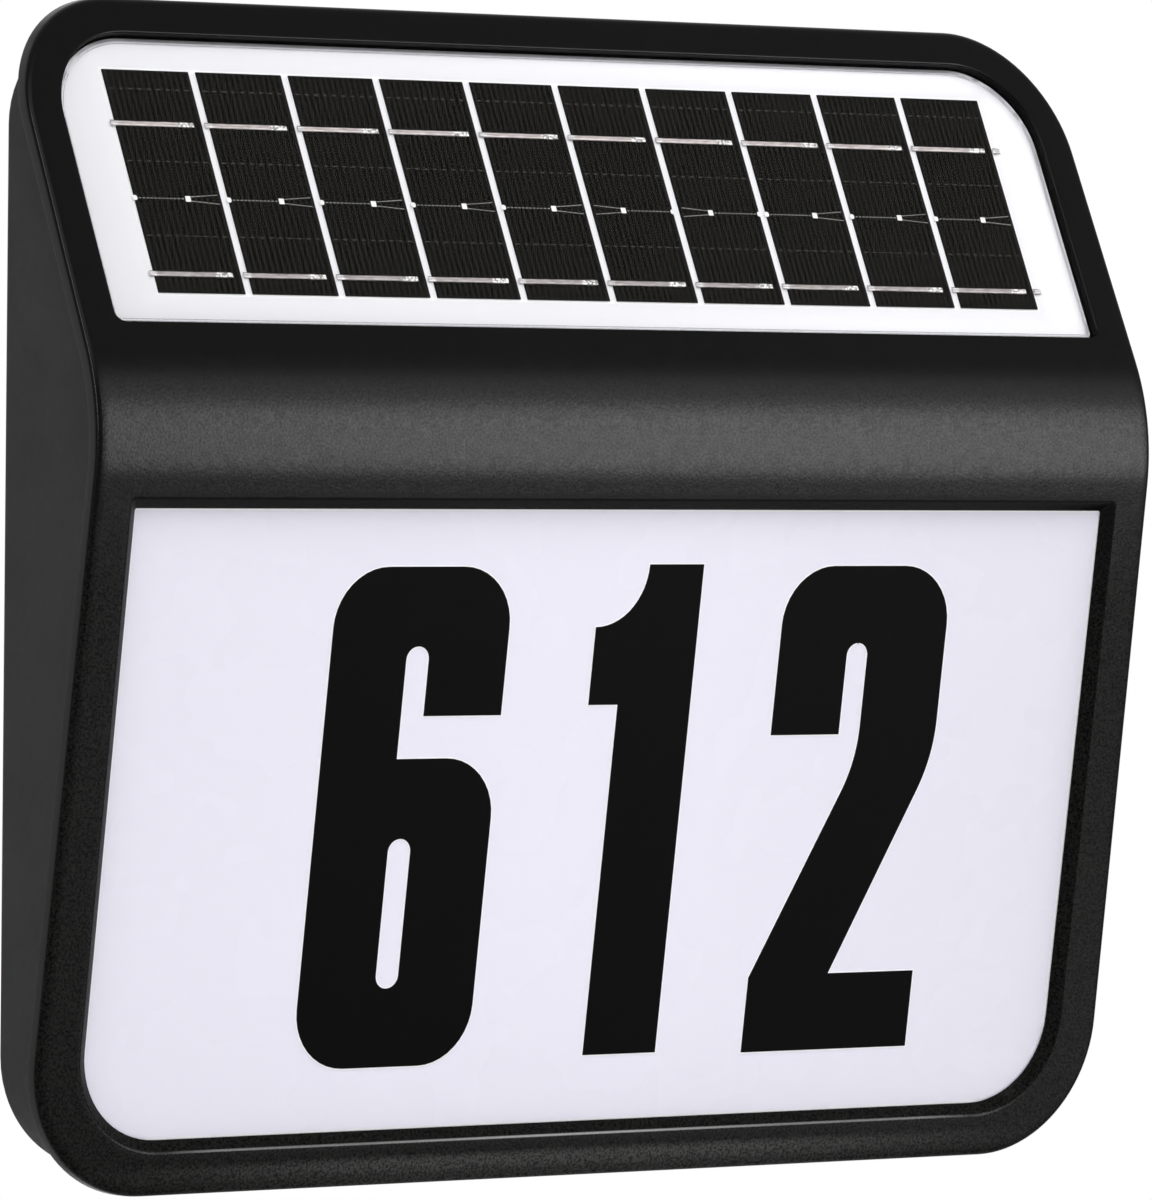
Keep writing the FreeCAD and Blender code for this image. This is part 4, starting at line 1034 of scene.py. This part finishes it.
class SIGN_OT_number(Maker, bpy.types.Operator):
    """Draws the vinyl number on the sign panel"""
    bl_idname = "house_sign.number"
    bl_label = "Number"

    def make(self, sign):
        number, face = sign.number, -sign.window.lip - TAPE
        vinyl = mottled("number_vinyl", shade(sign.colours.number, 0.9),
                        shade(sign.colours.number, 1.1), 0.38, 0.45, 900.0, 0.004,
                        Specular_IOR_Level=0.015)
        painted_edge = mottled("number_edge", (0.93, 0.93, 0.96), (0.98, 0.98, 1.0), 0.4, 0.5, 300.0,
                       0.0)
        digits = []
        painted_halos = []
        for outlines in number_loops(number):
            digits.append(plate(outlines, face, face + number.thickness, sign.fold.on_lower))
            # painted bright halo round each digit and inside its holes, as a white piece of its
            # own
            wide = [grown(outlines[0], number.painted_halo)]
            wide += [grown(hole, -number.painted_halo) for hole in outlines[1:]]
            painted_halos.append(plate(wide, face, face + number.thickness * 0.4, sign.fold.on_lower))
        new_piece("number_digits", merged(digits), "sign_acrylic", vinyl)
        new_piece("number_painted_halos", merged(painted_halos), "sign_acrylic", painted_edge)


# a ribbon starts this far before its cell and ends this far before the cell's end; the last
# cell has a tab beyond it
RIBBON_START, RIBBON_END = 0.85 * MM, 1.5 * MM
TAB_START, TAB_END = 0.2 * MM, 1.6 * MM
RIBBON_HALF_WIDTH, RIBBON_HEIGHT = 0.42, 0.055    # before they wander, in millimetres


class SIGN_OT_ribbons(Maker, bpy.types.Operator):
    """Makes the soldered ribbons that join the solar cells"""
    bl_idname = "house_sign.ribbons"
    bl_label = "Cell ribbons"

    def make(self, sign):
        layout = sign.layout
        parts = []
        for rise in layout.ribbon_rises:
            middle, seed = layout.bottom + rise, rise / MM
            for index in range(sign.panel.cell_count):
                left = layout.left + index * layout.pitch
                parts.append(ribbon(sign.fold, left - RIBBON_START,
                                    left + layout.cell - RIBBON_END, middle,
                                    index + 10 * seed))
            parts.append(ribbon(sign.fold, TAB_START - layout.left, TAB_END - layout.left,
                                middle, seed))
        piece = new_piece("soldered_ribbons", merged(parts), "ribbon_tin", sharp=60.0)
        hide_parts("cell_ribbons")


def ribbon(fold, left, right, middle, seed):
    """One tinned ribbon: a flat strip whose width and height wander by sums of sines along
    its length, with a solder bead near its start and a thicker joint near its end."""
    x = left + (right - left) * np.linspace(0, 1, 72)
    run = x - left
    wander = (np.sin(run / MM * 2.1 + seed) + 0.6 * np.sin(run / MM * 5.3 + 2 * seed)
              + 0.4 * np.sin(run / MM * 11.0 + 3 * seed))
    bead = np.exp(-((run - 0.55 * MM) / (0.5 * MM)) ** 2)
    joint = np.exp(-((run - (right - left) + 1.6 * MM) / (1.1 * MM)) ** 2)
    half = ((RIBBON_HALF_WIDTH + 0.025 * wander + 0.06 * bead + 0.05 * joint) * MM)[:, None]
    high = ((RIBBON_HEIGHT + 0.008 * wander + 0.025 * bead + 0.018 * joint) * MM)[:, None]
    centre = (middle + 0.02 * MM * np.sin(run / MM * 0.7 + seed))[:, None]
    across = np.linspace(-1, 1, 13)
    crown = 1 - across ** 4
    crease = 1 + 0.18 * np.sin(across * 9.0)[None, :] * np.sin(run / MM * 1.3 + seed)[:, None]
    top = fold.on_upper(x[:, None], centre + half * across,
                        CELL_HEIGHT + high * crown * crease)
    foot = fold.on_upper(x[:, None], centre + half * across[::-1], CELL_HEIGHT - 2 * SINK)
    rings = np.concatenate([top, foot], axis=1)
    points, faces = loft(rings)
    size = rings.shape[1]
    caps = [list(range(size))[::-1], list(range((len(x) - 1) * size, len(x) * size))]
    return points, faces + caps


# what is printed on each cell, in millimetres: dots from its left side to a pad, and a fork of
# two rows of strokes that opens behind the pad
DOTS, DOT_START, DOT_PITCH, DOT_SIZE = 12, 0.95, 0.70, (0.19, 0.075)
STROKES, STROKE_START, STROKE_PITCH, STROKE_SIZE = 5, 0.95, 1.02, (0.42, 0.055)
FORK_OFFSET, FORK_LEAN = 0.30, 0.085
START_PAD = (0.03, 0.42, 0.34)    # place, half width and corner radius
MIDDLE_PAD = (9.6, 0.46, 0.06)
TURNED_CELLS = (5, 6)
BORDER_INSETS = (-0.55, -0.72)    # both sides of the line round the white sheet


class SIGN_OT_traces(Maker, bpy.types.Operator):
    """Prints the middle line, its pads and its fork on each solar cell"""
    bl_idname = "house_sign.traces"
    bl_label = "Cell traces"

    def make(self, sign):
        layout, plane = sign.layout, sign.fold.on_upper
        paste = mottled("silver_paste", (0.78, 0.77, 0.77), (0.93, 0.92, 0.92), 0.4, 0.55,
                        2200.0, 0.01)
        thin_paste = mottled("thin_paste", (0.15, 0.145, 0.14), (0.32, 0.31, 0.30), 0.4, 0.55,
                             2600.0, 0.01)
        line = mottled("panel_print", (0.70, 0.70, 0.75), (0.78, 0.78, 0.84), 0.4, 0.5, 400.0,
                       0.0)
        middle = layout.bottom + sign.panel.middle_line
        pads = []
        lines = []

        def mark(x, v, size, lean=0.0):
            """Thin printed stroke, turned by its lean."""
            reach, half_width = (share * MM for share in size)
            loop = np.array(box_corners(-reach, reach, -half_width, half_width))
            loop[:, 1] += loop[:, 0] * lean
            lines.append(plate([loop + (x, v)], CELL_HEIGHT - SINK, CELL_HEIGHT + 2 * SINK,
                               plane))

        for index in range(sign.panel.cell_count):
            turn = -1 if index in TURNED_CELLS else 1
            start = layout.left + index * layout.pitch + (layout.cell if turn < 0 else 0)
            for run, half, radius in (START_PAD, MIDDLE_PAD):
                x, reach = start + turn * run * MM, half * MM
                loop = rounded_loop(box_corners(x - reach, x + reach, middle - reach,
                                                middle + reach), [radius * MM] * 4, 5, 1)
                pads.append(plate([loop], CELL_HEIGHT - SINK, CELL_HEIGHT + 3 * SINK, plane))
            for step in range(DOTS):
                mark(start + turn * (DOT_START + step * DOT_PITCH) * MM, middle, DOT_SIZE)
            for side in (-1, 1):
                for step in range(STROKES):
                    run = STROKE_START + step * STROKE_PITCH
                    mark(start + turn * (MIDDLE_PAD[0] + run) * MM,
                         middle + side * (FORK_OFFSET + FORK_LEAN * run) * MM, STROKE_SIZE,
                         turn * side * FORK_LEAN)
        new_piece("cell_pads", merged(pads), "ribbon_tin", paste)
        new_piece("cell_traces", merged(lines), "ribbon_tin", thin_paste)
        ring = [panel_loop(sign, inset * MM) for inset in BORDER_INSETS]
        new_piece("panel_border", plate(ring, BACKING_HEIGHT - SINK, BACKING_HEIGHT + 2 * SINK,
                                        plane), "white_laminate", line)


# camera fitted to the photograph's corners
CAMERA_LENS = 274.13
CAMERA_SENSOR = 36.0
CAMERA_YAW = math.radians(36.03)
CAMERA_DIP = math.radians(0.35)
CAMERA_TARGET = Vector((6.15, -5.39, -0.96)) * MM
CAMERA_DISTANCE = 1431.3 * MM

FLOOR_DROP = 400.0 * MM
FLOOR_REACH = 3.0
SOFT_LIGHT = 0.52
WHITE = (1.0, 1.0, 1.0)
# place, width and height, power, whether it lights matt surfaces, whether it shows in gloss
SOFT_BOXES = {
    "overhead_box": ((-0.45, -0.95, 1.3), (1.6, 0.7), 12.6, True, True),
    "left_box": ((-1.7, -0.4, 0.25), (0.9, 1.2), 3.5, True, True),
    "right_box": ((0.80, -0.35, 0.95), (0.5, 0.5), 8.1, True, False),
    "front_box": ((0.976, -1.294, 0.10), (0.52, 0.80), 28.5, False, True),
    "upper_box": ((0.976, -1.294, 0.72), (0.7, 0.42), 4.6, False, True),
    "low_box": ((0.72, -0.80, -0.40), (0.5, 0.12), 0.9, False, True),
    "edge_strip": ((-1.35, -0.75, 0.75), (0.25, 1.2), 27.0, False, True),
}


class SIGN_OT_stage(bpy.types.Operator):
    """Sets up the pale floor, the soft light and the camera"""
    bl_idname = "house_sign.stage"
    bl_label = "Stage"

    def execute(self, context):
        scene = context.scene
        scene.view_settings.view_transform = "Standard"
        low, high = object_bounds()
        self.floor(low.z - FLOOR_DROP)
        self.world(scene)
        self.lamps()
        self.camera(scene)
        return {"FINISHED"}

    def floor(self, height):
        """White floor that keeps a soft shadow and shows white to the camera."""
        corners = box_corners(-FLOOR_REACH, FLOOR_REACH, -FLOOR_REACH, FLOOR_REACH)
        mesh = bpy.data.meshes.new("pale_floor")
        mesh.from_pydata([(*corner, height) for corner in corners], [], [(0, 1, 2, 3)])
        material = bpy.data.materials.new("pale_floor")
        material.use_nodes = True
        nodes = Nodes(material.node_tree)
        matt = nodes.fill(nodes.tree.nodes["Principled BSDF"], Base_Color=(0.9, 0.9, 0.9),
                          Roughness=0.9)
        self.show(nodes, 0.95, matt, nodes.add("Emission"), "Material Output")
        mesh.materials.append(material)
        new_object("pale_floor", mesh)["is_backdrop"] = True

    def show(self, nodes, share, usual, white, end):
        """Blends a share of white in for rays from the camera, a reflection or glass."""
        path = nodes.add("LightPath").outputs
        total = nodes.calculate("ADD", path["Is Camera Ray"], path["Is Glossy Ray"])
        total = nodes.calculate("ADD", total, path["Is Transmission Ray"], clamp=True)
        mix = nodes.add("MixShader", Fac=nodes.times(total, share))
        nodes.put(mix.inputs[1], usual.outputs[0])
        nodes.put(mix.inputs[2], white.outputs[0])
        nodes.fill(nodes.tree.nodes[end], Surface=mix.outputs["Shader"])

    def world(self, scene):
        world = bpy.data.worlds.new("Studio")
        scene.world = world
        world.use_nodes = True
        nodes = Nodes(world.node_tree)
        soft = nodes.fill(nodes.tree.nodes["Background"], Color=WHITE, Strength=SOFT_LIGHT)
        white = nodes.add("Background", Color=WHITE, Strength=1.0)
        self.show(nodes, 1.0, soft, white, "World Output")

    def lamps(self):
        """Soft boxes aimed at the sign: three that light it, and four that only show as
        reflections on the nose, the edges and the lower frame."""
        for name, (place, size, power, matt, gloss) in SOFT_BOXES.items():
            data = bpy.data.lights.new(name, "AREA")
            data.shape = "RECTANGLE"
            data.size, data.size_y = size
            data.energy = power
            lamp = new_object(name, data)
            lamp.location = place
            lamp.rotation_euler = (-Vector(place)).to_track_quat("-Z", "Y").to_euler()
            lamp.visible_diffuse = matt
            lamp.visible_glossy = gloss

    def camera(self, scene):
        data = bpy.data.cameras.new("camera")
        data.lens = CAMERA_LENS
        data.sensor_width = CAMERA_SENSOR
        camera = new_object("camera", data)
        ahead = Vector((math.sin(CAMERA_YAW) * math.cos(CAMERA_DIP),
                        math.cos(CAMERA_YAW) * math.cos(CAMERA_DIP), -math.sin(CAMERA_DIP)))
        camera.location = CAMERA_TARGET - ahead * CAMERA_DISTANCE
        camera.rotation_euler = ahead.to_track_quat("-Z", "Y").to_euler()
        scene.camera = camera


class SIGN_PT_panel(bpy.types.Panel):
    """Lists the sizes, the colours and the steps"""
    bl_idname = "SIGN_PT_panel"
    bl_label = "House number sign"
    bl_space_type = "VIEW_3D"
    bl_region_type = "UI"
    bl_category = "House number"

    def draw(self, context):
        for name in PROPERTY_GROUPS:
            box = self.layout.box()
            group = getattr(context.scene, name)
            for label in group.bl_rna.properties.keys():
                if label not in ("rna_type", "name"):
                    box.prop(group, label)
        for step in STEPS:
            self.layout.operator(step.bl_idname)


PROPERTY_GROUPS = {"sign_cover": CoverSizes, "sign_window": WindowSizes,
                   "sign_panel": PanelSizes, "sign_number": NumberSizes,
                   "sign_colours": Colours}
STEPS = (SIGN_OT_finishes, SIGN_OT_cover, SIGN_OT_housing, SIGN_OT_number, SIGN_OT_ribbons,
         SIGN_OT_traces, SIGN_OT_stage)


def register():
    for group in PROPERTY_GROUPS.values():
        bpy.utils.register_class(group)
    for name, group in PROPERTY_GROUPS.items():
        setattr(bpy.types.Scene, name, PointerProperty(type=group))
    for step in (*STEPS, SIGN_PT_panel):
        bpy.utils.register_class(step)


def unregister():
    for step in reversed((*STEPS, SIGN_PT_panel)):
        bpy.utils.unregister_class(step)
    for name in PROPERTY_GROUPS:
        delattr(bpy.types.Scene, name)
    for group in reversed(PROPERTY_GROUPS.values()):
        bpy.utils.unregister_class(group)


def main():
    register()
    for step in STEPS:
        area, name = step.bl_idname.split(".")
        getattr(getattr(bpy.ops, area), name)()


if __name__ == "__main__":
    main()
